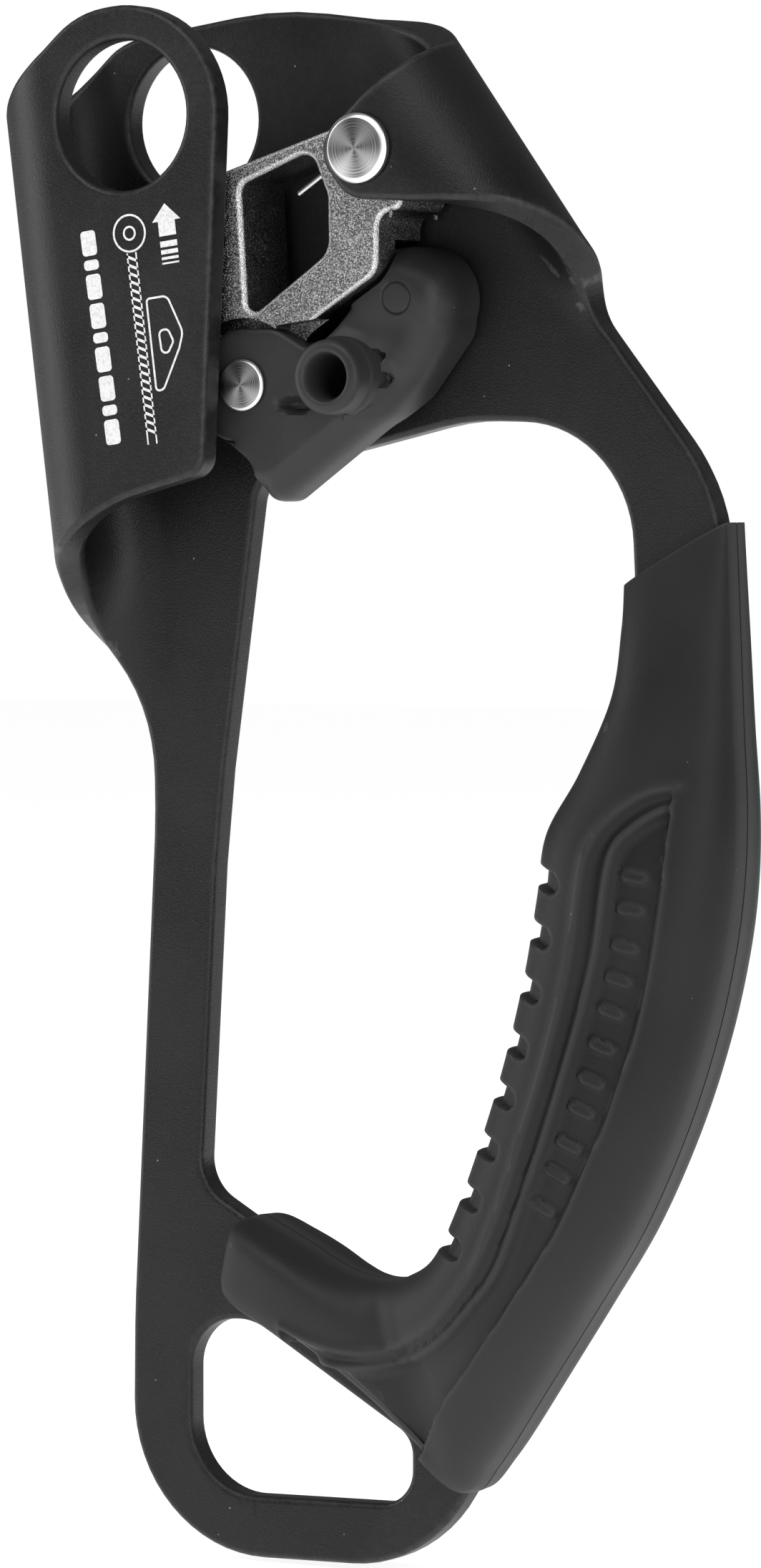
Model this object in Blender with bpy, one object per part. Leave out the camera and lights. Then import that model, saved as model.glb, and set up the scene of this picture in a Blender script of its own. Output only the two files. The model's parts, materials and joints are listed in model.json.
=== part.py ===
"""Handled rope ascender: one bent alloy plate, a toothed cam, a thumb catch and a rubber grip.

Millimetres are used throughout and scaled to metres when a mesh is made.
The origin is the centre of the top eye, in the middle of the rope channel.
+X points to the handle side, +Y to the back of the main plate and +Z up.
"""
import math
import bmesh
import bpy
from mathutils import Matrix, Vector

MM = 0.001

# Driving dimensions.
PLATE = 4.0             # plate thickness
CHANNEL = 14.0          # inner width of the rope channel, between flange and main plate
FIT = 0.3               # clearance between touching pieces
INNER = CHANNEL / 2     # inner bend radius, and the main plate's front face
OUTER = INNER + PLATE   # outer bend radius, and the main plate's back face
NEUTRAL = INNER + PLATE / 2
HALF_TURN = math.pi * NEUTRAL
MIDDLE = INNER + PLATE / 2      # the plate's mid-plane, where the grip halves meet

EYE_R = 9.6             # top eye, through flange and main plate
CAM_AXIS = (35.2, -5.0)
CATCH_AXIS = (15.3, -34.3)
AXLE_R = 3.0
BUSH_R = 4.0
HUB_R = 6.4
LOBE = (36.3, -23.6)    # the catch's upper lobe, which stands behind the cam's lower corner
LOBE_R = 6.7
RIVET_R = 1.8
CAM_FRONT = -5.9
CAM_BACK = 5.9
TAIL_FRONT = -2.4       # the cam's tail is thinner, where the catch laps over it


def new_material(name, color, roughness, metallic=0.0):
    material = bpy.data.materials.new(name)
    material.use_nodes = True
    shader = material.node_tree.nodes["Principled BSDF"]
    shader.inputs["Base Color"].default_value = (*color, 1.0)
    shader.inputs["Roughness"].default_value = roughness
    shader.inputs["Metallic"].default_value = metallic
    return material


def new_object(name, bm, material, origin=(0.0, 0.0, 0.0), sharp_deg=32.0):
    """Write a bmesh in millimetres to an object whose origin is at the given point."""
    offset = Vector(origin)
    for vert in bm.verts:
        vert.co = (vert.co - offset) * MM
    bmesh.ops.recalc_face_normals(bm, faces=bm.faces)
    mesh = bpy.data.meshes.new(name)
    bm.to_mesh(mesh)
    bm.free()
    mesh.shade_smooth()
    mesh.set_sharp_from_angle(angle=math.radians(sharp_deg))
    mesh.materials.append(material)
    obj = bpy.data.objects.new(name, mesh)
    obj.location = offset * MM
    bpy.context.scene.collection.objects.link(obj)
    return obj


def cut(obj, cutter, operation="DIFFERENCE", solver="EXACT"):
    """Cut or join with a helper solid, which stays in the file as a guide only."""
    cutter.hide_render = True
    cutter.display_type = "WIRE"
    modifier = obj.modifiers.new(operation.title() + " " + cutter.name, "BOOLEAN")
    modifier.operation = operation
    modifier.solver = solver
    modifier.object = cutter


def rounded(corners, step_deg=15.0):
    """Closed outline from (x, z, radius) corners, each corner turned into an arc."""
    points = []
    count = len(corners)
    for index, (x, z, radius) in enumerate(corners):
        here = Vector((x, z))
        before = (Vector(corners[index - 1][:2]) - here).normalized()
        after = (Vector(corners[(index + 1) % count][:2]) - here).normalized()
        half = before.angle(after) / 2
        turn = math.pi - 2 * half
        if radius == 0 or turn < math.radians(1.0):
            points.append(here)
            continue
        centre = here + (before + after).normalized() * radius / math.sin(half)
        start = here + before * radius / math.tan(half) - centre
        side = 1.0 if before.cross(after) < 0 else -1.0
        steps = max(1, math.ceil(math.degrees(turn) / step_deg))
        for k in range(steps + 1):
            angle = side * turn * k / steps
            c, s = math.cos(angle), math.sin(angle)
            points.append(centre + Vector((c * start.x - s * start.y, s * start.x + c * start.y)))
    return points


def circle(centre, radius, count=32):
    angles = [2 * math.pi * k / count for k in range(count)]
    return [Vector((centre[0] + radius * math.cos(a), centre[1] + radius * math.sin(a))) for a in angles]


def slab(outline, y0, y1, holes=()):
    """Flat plate between two Y planes, with holes through it."""
    bm = bmesh.new()
    edges = []
    for loop in (outline, *holes):
        verts = [bm.verts.new((p[0], y0, p[1])) for p in loop]
        edges += [bm.edges.new((a, b)) for a, b in zip(verts, verts[1:] + verts[:1])]
    bmesh.ops.triangle_fill(bm, edges=edges, use_beauty=True)
    faces = list(bm.faces)
    made = bmesh.ops.extrude_face_region(bm, geom=faces)
    for vert in (item for item in made["geom"] if isinstance(item, bmesh.types.BMVert)):
        vert.co.y = y1
    bm.normal_update()
    return bm


def turned(centre, profile, segments=32):
    """Solid of revolution about a Y axis, from (radius, y) points that start and end on it."""
    bm = bmesh.new()
    rings = []
    for radius, y in profile:
        if radius == 0:
            rings.append([bm.verts.new((centre[0], y, centre[1]))])
        else:
            ring = circle(centre, radius, segments)
            rings.append([bm.verts.new((p.x, y, p.y)) for p in ring])
    pairs = list(zip(rings, rings[1:]))
    if profile[0][0] != 0:
        pairs.append((rings[-1], rings[0]))
    for first, second in pairs:
        for k in range(segments):
            n = (k + 1) % segments
            quad = [first[k % len(first)], first[n % len(first)], second[n % len(second)], second[k % len(second)]]
            bm.faces.new(list(dict.fromkeys(quad)))
    return bm


def wire(points, radius, sides=8):
    """Round wire along a list of 3-D points, with flat ends."""
    bm = bmesh.new()
    rings = []
    normal = Vector((0.0, 0.0, 1.0))
    for index, point in enumerate(points):
        ahead = points[min(index + 1, len(points) - 1)]
        behind = points[max(index - 1, 0)]
        tangent = (ahead - behind).normalized()
        normal = (normal - tangent * normal.dot(tangent)).normalized()
        across = tangent.cross(normal)
        angles = [2 * math.pi * k / sides for k in range(sides)]
        rings.append([bm.verts.new(point + (normal * math.cos(a) + across * math.sin(a)) * radius)
                      for a in angles])
    for first, second in zip(rings, rings[1:]):
        for k in range(sides):
            n = (k + 1) % sides
            bm.faces.new((first[k], first[n], second[n], second[k]))
    bm.faces.new(rings[0])
    bm.faces.new(rings[-1])
    return bm


class Bend:
    """A half-turn bend of the plate about a line in the XZ plane at y = 0.

    s is the distance past the line on the flat blank and t the distance along it.
    The bend runs out between the t values given by fade.
    """

    def __init__(self, start, lean_deg, outward, fade):
        lean = math.radians(lean_deg)
        self.start = Vector(start)
        self.along = Vector((math.sin(lean), -math.cos(lean)))
        self.out = Vector((outward * math.cos(lean), outward * math.sin(lean)))
        self.fade = fade

    def blank(self, s, t):
        return self.start + self.along * t + self.out * s

    def measure(self, point):
        away = point - self.start
        return away.dot(self.out), away.dot(self.along)

    def strength(self, t):
        first, last = self.fade
        u = min(max((t - first) / (last - first), 0.0), 1.0)
        return 1.0 - u * u * (3.0 - 2.0 * u)

    def folded(self, co):
        """Move one point of the flat blank to where the bend carries it."""
        s, t = self.measure(Vector((co.x, co.z)))
        strength = self.strength(t)
        if s <= 0 or strength < 0.001:
            return co
        radius = NEUTRAL / strength
        depth = co.y - NEUTRAL
        angle = min(s / radius, math.pi)
        straight = s - angle * radius
        out = (radius + depth) * math.sin(angle) + straight * math.cos(angle)
        y = NEUTRAL - radius + (radius + depth) * math.cos(angle) - straight * math.sin(angle)
        place = self.start + self.along * t + self.out * out
        return Vector((place.x, y, place.y))


CURL = Bend(start=(-11.0, 1.5), lean_deg=7.26, outward=-1, fade=(56.0, 80.0))
EAR = Bend(start=(33.0, 2.5), lean_deg=35.9, outward=1, fade=(30.0, 42.0))


def on(bend, s, t, radius=0.0):
    point = bend.blank(s, t)
    return (point.x, point.y, radius)


# The blank of the main plate, anticlockwise from the flange's top, as corners with radii.
BLANK = [
    on(CURL, 34.0, -11.1, 13.0), on(CURL, 55.8, -11.1, 14.0), on(CURL, 45.3, 49.6, 3.0),
    (-35.6, -53.5, 25.0), (-20.4, -58.8, 12.0), (-6.3, -76.6, 25.0), (-6.1, -91.0, 60.0),
    (-9.3, -155.0, 100.0), (-9.6, -186.5, 19.5), (34.6, -185.8, 20.0), (76.6, -115.0, 75.0),
    (76.8, -50.4, 24.0), (72.3, -42.6, 22.0), on(EAR, 4.3, 36.5, 7.0), on(EAR, 36.3, 11.1, 5.0),
    on(EAR, 36.3, 3.1, 4.0), on(EAR, 13.2, 0.1, 4.0), (13.0, 14.2, 50.0),
    on(CURL, -1.2, -9.1, 12.0), on(CURL, 14.8, 2.3, 10.0),
]

# The opening for the hand, clockwise from its top left corner.
HAND = [
    (9.7, -45.9, 5.0), (40.5, -38.8, 30.0), (63.4, -39.4, 16.0), (64.8, -70.0, 20.0),
    (56.6, -92.0, 20.0), (47.2, -135.0, 60.0), (35.0, -151.7, 12.0), (25.0, -151.7, 12.0),
    (1.0, -137.9, 6.0), (3.6, -90.0, 150.0),
]

# The lower eye, for a karabiner and a foot loop.
LOWER_EYE = [
    (-0.5, -155.8, 6.5), (8.5, -155.1, 8.0), (32.4, -169.1, 4.0), (32.4, -177.7, 4.5),
    (-0.5, -178.3, 9.5),
]


def build_frame():
    holes = [rounded(HAND), rounded(LOWER_EYE), circle((0.0, 0.0), EYE_R)]
    holes.append(circle(CURL.blank(*flat_place(CURL, (0.0, 0.0))), EYE_R))
    holes.append(circle(CAM_AXIS, AXLE_R + FIT, 24))
    holes.append(circle(EAR.blank(*flat_place(EAR, CAM_AXIS)), AXLE_R + FIT, 24))
    hook = math.radians(SPRING_HOOK_DEG)
    hook_hole = (CAM_AXIS[0] + SPRING_R * math.cos(hook), CAM_AXIS[1] + SPRING_R * math.sin(hook))
    holes.append(circle(hook_hole, SPRING_WIRE_R + FIT, 12))
    bm = slab(rounded(BLANK), INNER, OUTER, holes)
    for bend in (CURL, EAR):
        split_along(bm, bend)
    bmesh.ops.triangulate(bm, faces=bm.faces)
    for vert in bm.verts:
        bend = CURL if vert.co.x < 15.0 else EAR
        vert.co = bend.folded(vert.co)
    black = new_material("black_anodised_alloy", (0.02, 0.02, 0.021), 0.5, 0.4)
    return new_object("frame", bm, black)


def flat_place(bend, point):
    """Blank coordinates of a point on the folded-over flat, given where it ends up."""
    s, t = bend.measure(Vector(point))
    return HALF_TURN - s, t


def split_along(bm, bend, strips=12, fade_strips=4):
    """Cut the blank into strips across the bend, and across the stretch where it runs out."""
    planes = [(bend.blank(HALF_TURN * k / strips, 0.0), bend.out) for k in range(strips + 1)]
    first, last = bend.fade
    for k in range(fade_strips + 1):
        t = first + (last - first) * k / fade_strips
        planes.append((bend.blank(0.0, t), bend.along))
    for point, normal in planes:
        near = [f for f in bm.faces if bend_side(bend, f)]
        geom = list({item for f in near for item in (*f.verts, *f.edges, f)})
        bmesh.ops.bisect_plane(bm, geom=geom, dist=1e-5,
                               plane_co=(point.x, 0.0, point.y), plane_no=(normal.x, 0.0, normal.y))


def bend_side(bend, face):
    """True for the blank's faces that reach past the bend's line."""
    return any(bend.measure(Vector((v.co.x, v.co.z)))[0] > -0.01 and (v.co.x < 15.0) == (bend is CURL)
               for v in face.verts)


# ---------------------------------------------------------------------------- cam
ROPE_FACE_R = 38.5      # the toothed face is an arc, eccentric to the cam's axis
ROPE_FACE_CENTRE = (32.0, -22.0)


def rope_face(angle_deg, proud=0.0):
    """Point on the toothed face, by its angle below the arc's leftmost point."""
    angle = math.radians(180.0 + angle_deg)
    radius = ROPE_FACE_R + proud
    return (ROPE_FACE_CENTRE[0] + radius * math.cos(angle), ROPE_FACE_CENTRE[1] + radius * math.sin(angle))


def arc(centre, radius, first_deg, last_deg, steps):
    """Points on an arc, as corners that need no rounding."""
    angles = [math.radians(first_deg + (last_deg - first_deg) * k / steps) for k in range(steps + 1)]
    return [(centre[0] + radius * math.cos(a), centre[1] + radius * math.sin(a), 0.0) for a in angles]


# The cam, clockwise from its top left: rim, hub, right edge, round tail and toothed face.
CAM = [
    (9.8, -8.0, 2.0), (28.5, -2.0, 4.0), *arc(CAM_AXIS, HUB_R, 110, -60, 10), (38.0, -12.8, 1.5),
    (34.8, -12.4, 2.0), (34.7, -20.3, 3.0), (22.2, -28.4, 3.0), (22.2, -41.2, 6.9), (13.0, -41.2, 2.0),
    (9.6, -38.9, 1.0), (-1.2, -38.9, 2.0),
    *((*rope_face(angle), 0.0) for angle in range(22, -13, -4)), (-4.4, -11.4, 2.0),
]
WINDOW = [
    (14.7, -9.0, 1.5), (25.0, -4.8, 2.0), (27.4, -10.5, 3.0), (27.5, -17.6, 3.0), (15.8, -26.0, 1.2),
]
TAIL = [(4, -34), (4, -50), (30, -50), (30, -34), (26.0, -26.0), (20.2, -26.8), (17, -34)]
TEETH_ROWS = 7
SPRING_POCKET_R = 5.7
LAP_R = 8.5             # recess in the cam for the catch's round lobe
SPRING_R = 4.9          # mid radius of the cam spring's coil
SPRING_WIRE_R = 0.45
SPRING_HOOK_DEG = 200.0  # where the spring's fixed end turns into the main plate
SPRING_LEG = ((32.75, -0.76), (18.9, -9.9))     # the moving leg, from the coil to its end in the window


def build_cam():
    chrome = new_material("cast_chrome_steel", (0.55, 0.55, 0.55), 0.25, 1.0)
    axis = (CAM_AXIS[0], 0.0, CAM_AXIS[1])
    holes = [rounded(WINDOW), circle(CAM_AXIS, BUSH_R + FIT), circle(CATCH_AXIS, RIVET_R + FIT, 20)]
    cam = new_object("cam", slab(rounded(CAM), CAM_FRONT, CAM_BACK, holes), chrome, axis)
    helpers = [
        ("cam_pocket_cut", turned(CAM_AXIS, [(0, 0.2), (SPRING_POCKET_R, 0.2), (SPRING_POCKET_R, 8), (0, 8)])),
        ("cam_spring_slot_cut", slab(spring_slot(), 0.8, 9)),
        ("cam_lap_cut", turned(CATCH_AXIS, [(0, -8), (LAP_R, -8), (LAP_R, TAIL_FRONT), (0, TAIL_FRONT)])),
        ("cam_tail_cut", slab(TAIL, -8, TAIL_FRONT)),
        ("cam_lobe_relief", turned(LOBE, [(0, -1.2), (LOBE_R + 1, -1.2), (LOBE_R + 1, 8), (0, 8)])),
        ("cam_coil_hole", coil_hole(0, TAIL_FRONT - 1, TAIL_FRONT + 2.2)),
        ("cam_rivet_sink", turned(CATCH_AXIS, [(0, 4.3), (3.6, 4.3), (3.6, 8), (0, 8)], 24)),
    ]
    # EXACT leaves open edges where the teeth and pockets meet the slab, so these use MANIFOLD.
    for name, bm in helpers:
        cut(cam, new_object(name, bm, chrome), solver="MANIFOLD")
    cut(cam, new_object("cam_teeth", teeth(), chrome), "UNION", "MANIFOLD")


def spring_slot():
    """Slot that lets the spring's moving leg out of its pocket into the window."""
    start, end = Vector(SPRING_LEG[0]), Vector(SPRING_LEG[1])
    ahead = (end - start).normalized()
    aside = Vector((-ahead.y, ahead.x)) * 1.1
    return [start - ahead - aside, start - ahead + aside, start + ahead * 12 + aside, start + ahead * 12 - aside]


def teeth():
    """Conical teeth in staggered rows on the rope face, each leaning down towards the load."""
    bm = bmesh.new()
    for row in range(TEETH_ROWS):
        angle = -8.0 + 4.6 * row
        columns = (-4.0, 0.0, 4.0) if row % 2 else (-2.0, 2.0)
        for y in columns:
            base, tip = rope_face(angle, -1.5), rope_face(angle + 1.2, 1.3)
            base, tip = Vector((base[0], y, base[1])), Vector((tip[0], y, tip[1]))
            turn = (tip - base).to_track_quat("Z", "Y").to_matrix().to_4x4()
            place = Matrix.Translation((base + tip) / 2) @ turn
            bmesh.ops.create_cone(bm, cap_ends=True, segments=8, radius1=1.5, radius2=0.2,
                                  depth=(tip - base).length, matrix=place)
    return bm


# ---------------------------------------------------------------------------- axle and rivet
def build_axle():
    steel = new_material("turned_steel", (0.6, 0.6, 0.6), 0.3, 1.0)
    axis = (CAM_AXIS[0], 0.0, CAM_AXIS[1])
    head, tail = -OUTER - FIT, OUTER + FIT + 0.8 + FIT
    profile = [(0, head - 1.2), (3.9, head - 1.2), (4.4, head - 0.7), (4.4, head), (AXLE_R, head),
               (AXLE_R, tail), (4.6, tail), (4.6, tail + 0.6), (3.6, tail + 1.4), (0, tail + 1.4)]
    new_object("cam_axle", turned(CAM_AXIS, profile), steel, axis)
    back = OUTER + FIT
    ring = [(AXLE_R + FIT, back), (6.2, back), (6.2, back + 0.8), (AXLE_R + FIT, back + 0.8)]
    new_object("axle_back_washer", turned(CAM_AXIS, ring), steel, axis)
    bronze = new_material("sintered_bronze", (0.42, 0.3, 0.16), 0.45, 0.9)
    bush = [(AXLE_R + 0.1, CAM_FRONT), (BUSH_R, CAM_FRONT), (BUSH_R, CAM_BACK), (AXLE_R + 0.1, CAM_BACK)]
    new_object("cam_bush", turned(CAM_AXIS, bush), bronze, axis)


def build_cam_spring():
    """Torsion spring about the axle, hooked into the main plate and bearing on the cam's window."""
    steel = new_material("spring_steel", (0.65, 0.65, 0.65), 0.25, 1.0)
    pitch, steps = 1.15, 16
    turns = 3.0 + (120.0 - SPRING_HOOK_DEG) / 360.0
    start_y = 5.4
    points = []
    for k in range(round(turns * steps) + 1):
        angle = math.radians(SPRING_HOOK_DEG + 360.0 * k / steps)
        x = CAM_AXIS[0] + SPRING_R * math.cos(angle)
        z = CAM_AXIS[1] + SPRING_R * math.sin(angle)
        points.append(Vector((x, start_y - pitch * k / steps, z)))
    hook = [points[0] + Vector((0.0, depth, 0.0)) for depth in (3.6, 1.2)]
    end_y = points[-1].y - 0.1
    leg = [Vector((SPRING_LEG[0][0], end_y, SPRING_LEG[0][1])).lerp(
        Vector((SPRING_LEG[1][0], end_y, SPRING_LEG[1][1])), part) for part in (0.12, 0.5, 1.0)]
    axis = (CAM_AXIS[0], 0.0, CAM_AXIS[1])
    new_object("cam_spring", wire(hook + points[:-1] + leg, SPRING_WIRE_R), steel, axis)


# ---------------------------------------------------------------------------- thumb catch
# The catch, clockwise from its round lobe over the cam's tail.
CATCH = [
    (8.2, -27.2, 7.0), (19.8, -27.2, 4.0), (25.6, -30.4, 2.5), *arc(LOBE, LOBE_R, 190, -20, 12),
    (42.4, -28.0, 4.0), (34.4, -38.4, 5.0), (19.6, -49.0, 3.0), (16.9, -49.2, 1.5), (16.6, -44.4, 3.5),
    (12.6, -41.4, 3.0), (8.2, -41.0, 6.0),
]
# Room under the lobe for the cam's tail and beside it for the cam's right edge.
CATCH_UNDER = [
    (3.0, -20.0), (27.0, -20.0), (27.0, -25.9), (22.8, -28.6), (23.2, -34.3), (18.4, -41.2),
    (15.0, -43.6), (3.0, -43.6),
]
BOSS = (29.1, -33.4)
COIL_R = 3.1            # mid radius of the catch spring, in a pocket behind the lobe
COIL_WIRE_R = 0.35
COIL_DEG = (200.0, 20.0)    # where its ends turn into the cam and into the catch


def build_catch():
    """The catch laps over the cam's tail and stands beside it, in front of the main plate."""
    plastic = new_material("grey_black_plastic", (0.05, 0.05, 0.052), 0.5)
    axis = (CATCH_AXIS[0], 0.0, CATCH_AXIS[1])
    top, base = -6.0, INNER - 1.0
    catch = new_object("trigger", slab(rounded(CATCH), top, base), plastic, axis)
    shelf = [(26.0, -60.0), (60.0, -60.0), (60.0, -5.0), (26.0, -5.0)]
    cut(catch, new_object("trigger_under_cut", slab(CATCH_UNDER, TAIL_FRONT - FIT, 12), plastic))
    cut(catch, new_object("trigger_front_cut", slab(shelf, -12, -0.8), plastic))
    tail_room = [(0, TAIL_FRONT - FIT), (7.3, TAIL_FRONT - FIT), (7.3, 12), (0, 12)]
    cut(catch, new_object("trigger_tail_cut", turned(CATCH_AXIS, tail_room), plastic))
    boss = [(0, -9.4), (4.3, -9.4), (4.8, -8.9), (4.8, 0.5), (0, 0.5)]
    cut(catch, new_object("trigger_boss", turned(BOSS, boss), plastic), "UNION")
    bore = [(0, -12), (2.85, -12), (2.85, 2.0), (0, 2.0)]
    cut(catch, new_object("trigger_bore_cut", turned(BOSS, bore, 24), plastic))
    hole = [(0, -12), (RIVET_R + FIT, -12), (RIVET_R + FIT, 12), (0, 12)]
    cut(catch, new_object("trigger_rivet_cut", turned(CATCH_AXIS, hole, 20), plastic))
    pocket = [(0, -4.9), (3.9, -4.9), (3.9, 0), (0, 0)]
    cut(catch, new_object("trigger_coil_pocket", turned(CATCH_AXIS, pocket, 24), plastic))
    cut(catch, new_object("trigger_coil_hole", coil_hole(1, -5.7, -4), plastic))
    pin_hole = [(0, 0.6), (1.5 + FIT, 0.6), (1.5 + FIT, 12), (0, 12)]
    cut(catch, new_object("trigger_pin_cut", turned(LOCK_PIN, pin_hole, 20), plastic))


LOCK_PIN = (36.3, -23.5)


def coil_hole(end, y0, y1):
    """Small hole for one end of the catch spring."""
    angle = math.radians(COIL_DEG[end])
    centre = (CATCH_AXIS[0] + COIL_R * math.cos(angle), CATCH_AXIS[1] + COIL_R * math.sin(angle))
    return slab(circle(centre, COIL_WIRE_R + 0.25, 12), y0, y1)


def build_catch_spring():
    """Small torsion spring round the catch's rivet, one end in the cam and one in the catch."""
    steel = new_material("catch_spring_steel", (0.65, 0.65, 0.65), 0.25, 1.0)
    steps, back, front = 16, -3.1, -4.5
    sweep = COIL_DEG[1] - COIL_DEG[0] + 720.0
    count = round(sweep / 360.0 * steps)
    points = []
    for k in range(count + 1):
        angle = math.radians(COIL_DEG[0] + sweep * k / count)
        x = CATCH_AXIS[0] + COIL_R * math.cos(angle)
        z = CATCH_AXIS[1] + COIL_R * math.sin(angle)
        points.append(Vector((x, back + (front - back) * k / count, z)))
    first = points[0] + Vector((0.0, 2.5, 0.0))
    last = points[-1] - Vector((0.0, 0.95, 0.0))
    axis = (CATCH_AXIS[0], 0.0, CATCH_AXIS[1])
    coil = wire([first, points[0] + Vector((0, 0.3, 0)), *points[1:-1], points[-1] - Vector((0, 0.2, 0)), last],
                COIL_WIRE_R)
    new_object("trigger_spring", coil, steel, axis)


def build_catch_fittings():
    steel = new_material("bright_steel", (0.6, 0.6, 0.6), 0.3, 1.0)
    axis = (CATCH_AXIS[0], 0.0, CATCH_AXIS[1])
    head = -6.0 - FIT
    profile = [(0, head - 0.5), (3.0, head - 0.5), (3.3, head - 0.2), (3.3, head), (RIVET_R, head),
               (RIVET_R, 5.4), (2.8, 5.4), (2.4, 6.1), (0, 6.1)]
    new_object("trigger_rivet", turned(CATCH_AXIS, profile, 28), steel, axis)
    ring = [(RIVET_R + FIT, 4.6), (3.3, 4.6), (3.3, 5.1), (RIVET_R + FIT, 5.1)]
    new_object("trigger_rivet_washer", turned(CATCH_AXIS, ring, 24), steel, axis)
    pin = [(0, 0.9), (1.5, 0.9), (1.5, INNER - 0.7), (1.2, INNER - 0.4), (0, INNER - 0.4)]
    new_object("trigger_lock_pin", turned(LOCK_PIN, pin, 20), steel, axis)


# ---------------------------------------------------------------------------- grip
# Ribs across the grip, from its top to the end of its lower branch: a point on the hand side,
# a point on the outer side and the rubber's height over the plate.
RIBS = [
    (63.3, -59.6, 77.7, -51.6, 1.6), (63.2, -65.2, 78.3, -65.2, 3.6), (62.0, -73.6, 78.8, -77.0, 5.0),
    (57.8, -83.0, 79.3, -88.0, 7.0), (53.4, -90.6, 78.9, -97.2, 8.6), (52.2, -98.4, 77.6, -106.2, 9.0),
    (50.4, -108.4, 75.0, -116.8, 9.0), (47.6, -119.4, 70.9, -128.4, 9.0), (44.2, -129.8, 65.1, -140.6, 9.0),
    (40.8, -138.6, 58.3, -151.2, 9.0), (37.4, -145.0, 51.3, -161.6, 8.8), (33.0, -147.9, 44.5, -171.6, 7.4),
    (28.8, -148.9, 40.4, -175.4, 5.6), (24.6, -148.5, 34.4, -170.0, 6.6), (20.8, -147.1, 27.4, -164.4, 7.2),
    (16.8, -145.0, 20.0, -159.4, 7.6), (13.0, -143.2, 13.8, -156.0, 7.4), (9.6, -141.7, 7.8, -152.8, 6.2),
    (7.9, -142.2, 6.4, -149.4, 3.0),
]
SEAM_GAP = 0.15
RIB_STEPS = 9


def grown(outline, distance):
    """The outline moved outwards by a distance, whichever way round it runs."""
    outline = [p for k, p in enumerate(outline) if (p - outline[k - 1]).length > 0.1]
    count = len(outline)
    area = sum(outline[k - 1].cross(outline[k]) for k in range(count))
    distance = -math.copysign(distance, area * distance)
    moved = []
    for k, point in enumerate(outline):
        along = (outline[(k + 1) % count] - outline[k - 1]).normalized()
        moved.append(point + Vector((-along.y, along.x)) * distance)
    return moved


def grip_section(rib, side):
    """Domed section of one half across a rib, on the front (-1) or the back (+1) of the plate."""
    hand, outer, height = Vector(rib[0:2]), Vector(rib[2:4]), rib[4]
    section = [(0.0, SEAM_GAP)]
    for k in range(1, RIB_STEPS):
        part = (1 - math.cos(math.pi * k / RIB_STEPS)) / 2
        swell = (1 - abs(2 * part - 1) ** 2.6) ** 0.45
        section.append((part, PLATE / 2 + FIT + height * swell))
    section.append((1.0, SEAM_GAP))
    places = [(hand.lerp(outer, part), MIDDLE + side * depth) for part, depth in section]
    return [Vector((place.x, y, place.y)) for place, y in places]


def build_grip_half(name, side, rubber):
    """One moulded half of the grip: a domed body with room in it for the plate."""
    bm = bmesh.new()
    rings = [[bm.verts.new(p) for p in grip_section(rib, side)] for rib in RIBS]
    for first, second in zip(rings, rings[1:]):
        for k in range(len(first)):
            n = (k + 1) % len(first)
            bm.faces.new((first[k], first[n], second[n], second[k]))
    bm.faces.new(rings[0])
    bm.faces.new(rings[-1])
    bmesh.ops.triangulate(bm, faces=bm.faces)
    grip = new_object(name, bm, rubber)
    opening = [grown(rounded(HAND), -FIT)]
    room = slab(grown(rounded(BLANK), FIT), INNER - FIT, OUTER + FIT, opening)
    cut(grip, new_object(name + "_plate_cut", room, rubber))


def main():
    for obj in list(bpy.data.objects):
        bpy.data.objects.remove(obj, do_unlink=True)
    build_frame()
    build_cam()
    build_axle()
    build_cam_spring()
    build_catch()
    build_catch_fittings()
    build_catch_spring()
    rubber = new_material("black_rubber", (0.03, 0.03, 0.03), 0.6)
    build_grip_half("grip_front", -1, rubber)
    build_grip_half("grip_back", 1, rubber)


main()
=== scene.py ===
"""Handled rope ascender: looks of the bent plate, cam, catch and rubber grip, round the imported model."""
import json
import math
import bmesh
import bpy
import numpy as np
from mathutils import Matrix, Vector
from mathutils.geometry import delaunay_2d_cdt

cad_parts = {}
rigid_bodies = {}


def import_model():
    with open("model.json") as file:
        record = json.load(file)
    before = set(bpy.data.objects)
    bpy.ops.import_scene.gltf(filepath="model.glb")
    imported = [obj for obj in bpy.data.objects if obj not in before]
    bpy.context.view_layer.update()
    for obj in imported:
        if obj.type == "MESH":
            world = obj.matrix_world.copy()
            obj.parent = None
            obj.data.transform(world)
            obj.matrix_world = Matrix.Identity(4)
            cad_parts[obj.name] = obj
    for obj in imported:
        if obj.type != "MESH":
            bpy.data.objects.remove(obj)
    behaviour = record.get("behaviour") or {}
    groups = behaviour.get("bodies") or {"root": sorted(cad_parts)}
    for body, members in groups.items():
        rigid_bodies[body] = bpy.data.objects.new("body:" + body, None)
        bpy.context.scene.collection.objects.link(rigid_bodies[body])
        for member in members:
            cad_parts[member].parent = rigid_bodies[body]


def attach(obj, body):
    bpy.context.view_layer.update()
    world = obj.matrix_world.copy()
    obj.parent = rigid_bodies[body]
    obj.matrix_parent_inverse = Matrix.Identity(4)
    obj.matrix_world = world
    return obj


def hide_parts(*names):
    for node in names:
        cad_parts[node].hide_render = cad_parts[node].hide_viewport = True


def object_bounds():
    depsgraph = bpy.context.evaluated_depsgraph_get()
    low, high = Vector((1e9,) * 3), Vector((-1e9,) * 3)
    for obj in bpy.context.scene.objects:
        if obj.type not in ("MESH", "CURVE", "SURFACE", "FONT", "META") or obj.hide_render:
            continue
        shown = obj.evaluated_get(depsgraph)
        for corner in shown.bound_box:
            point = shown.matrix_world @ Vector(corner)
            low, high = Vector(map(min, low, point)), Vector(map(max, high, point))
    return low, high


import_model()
cad_low, cad_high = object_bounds()

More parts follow.
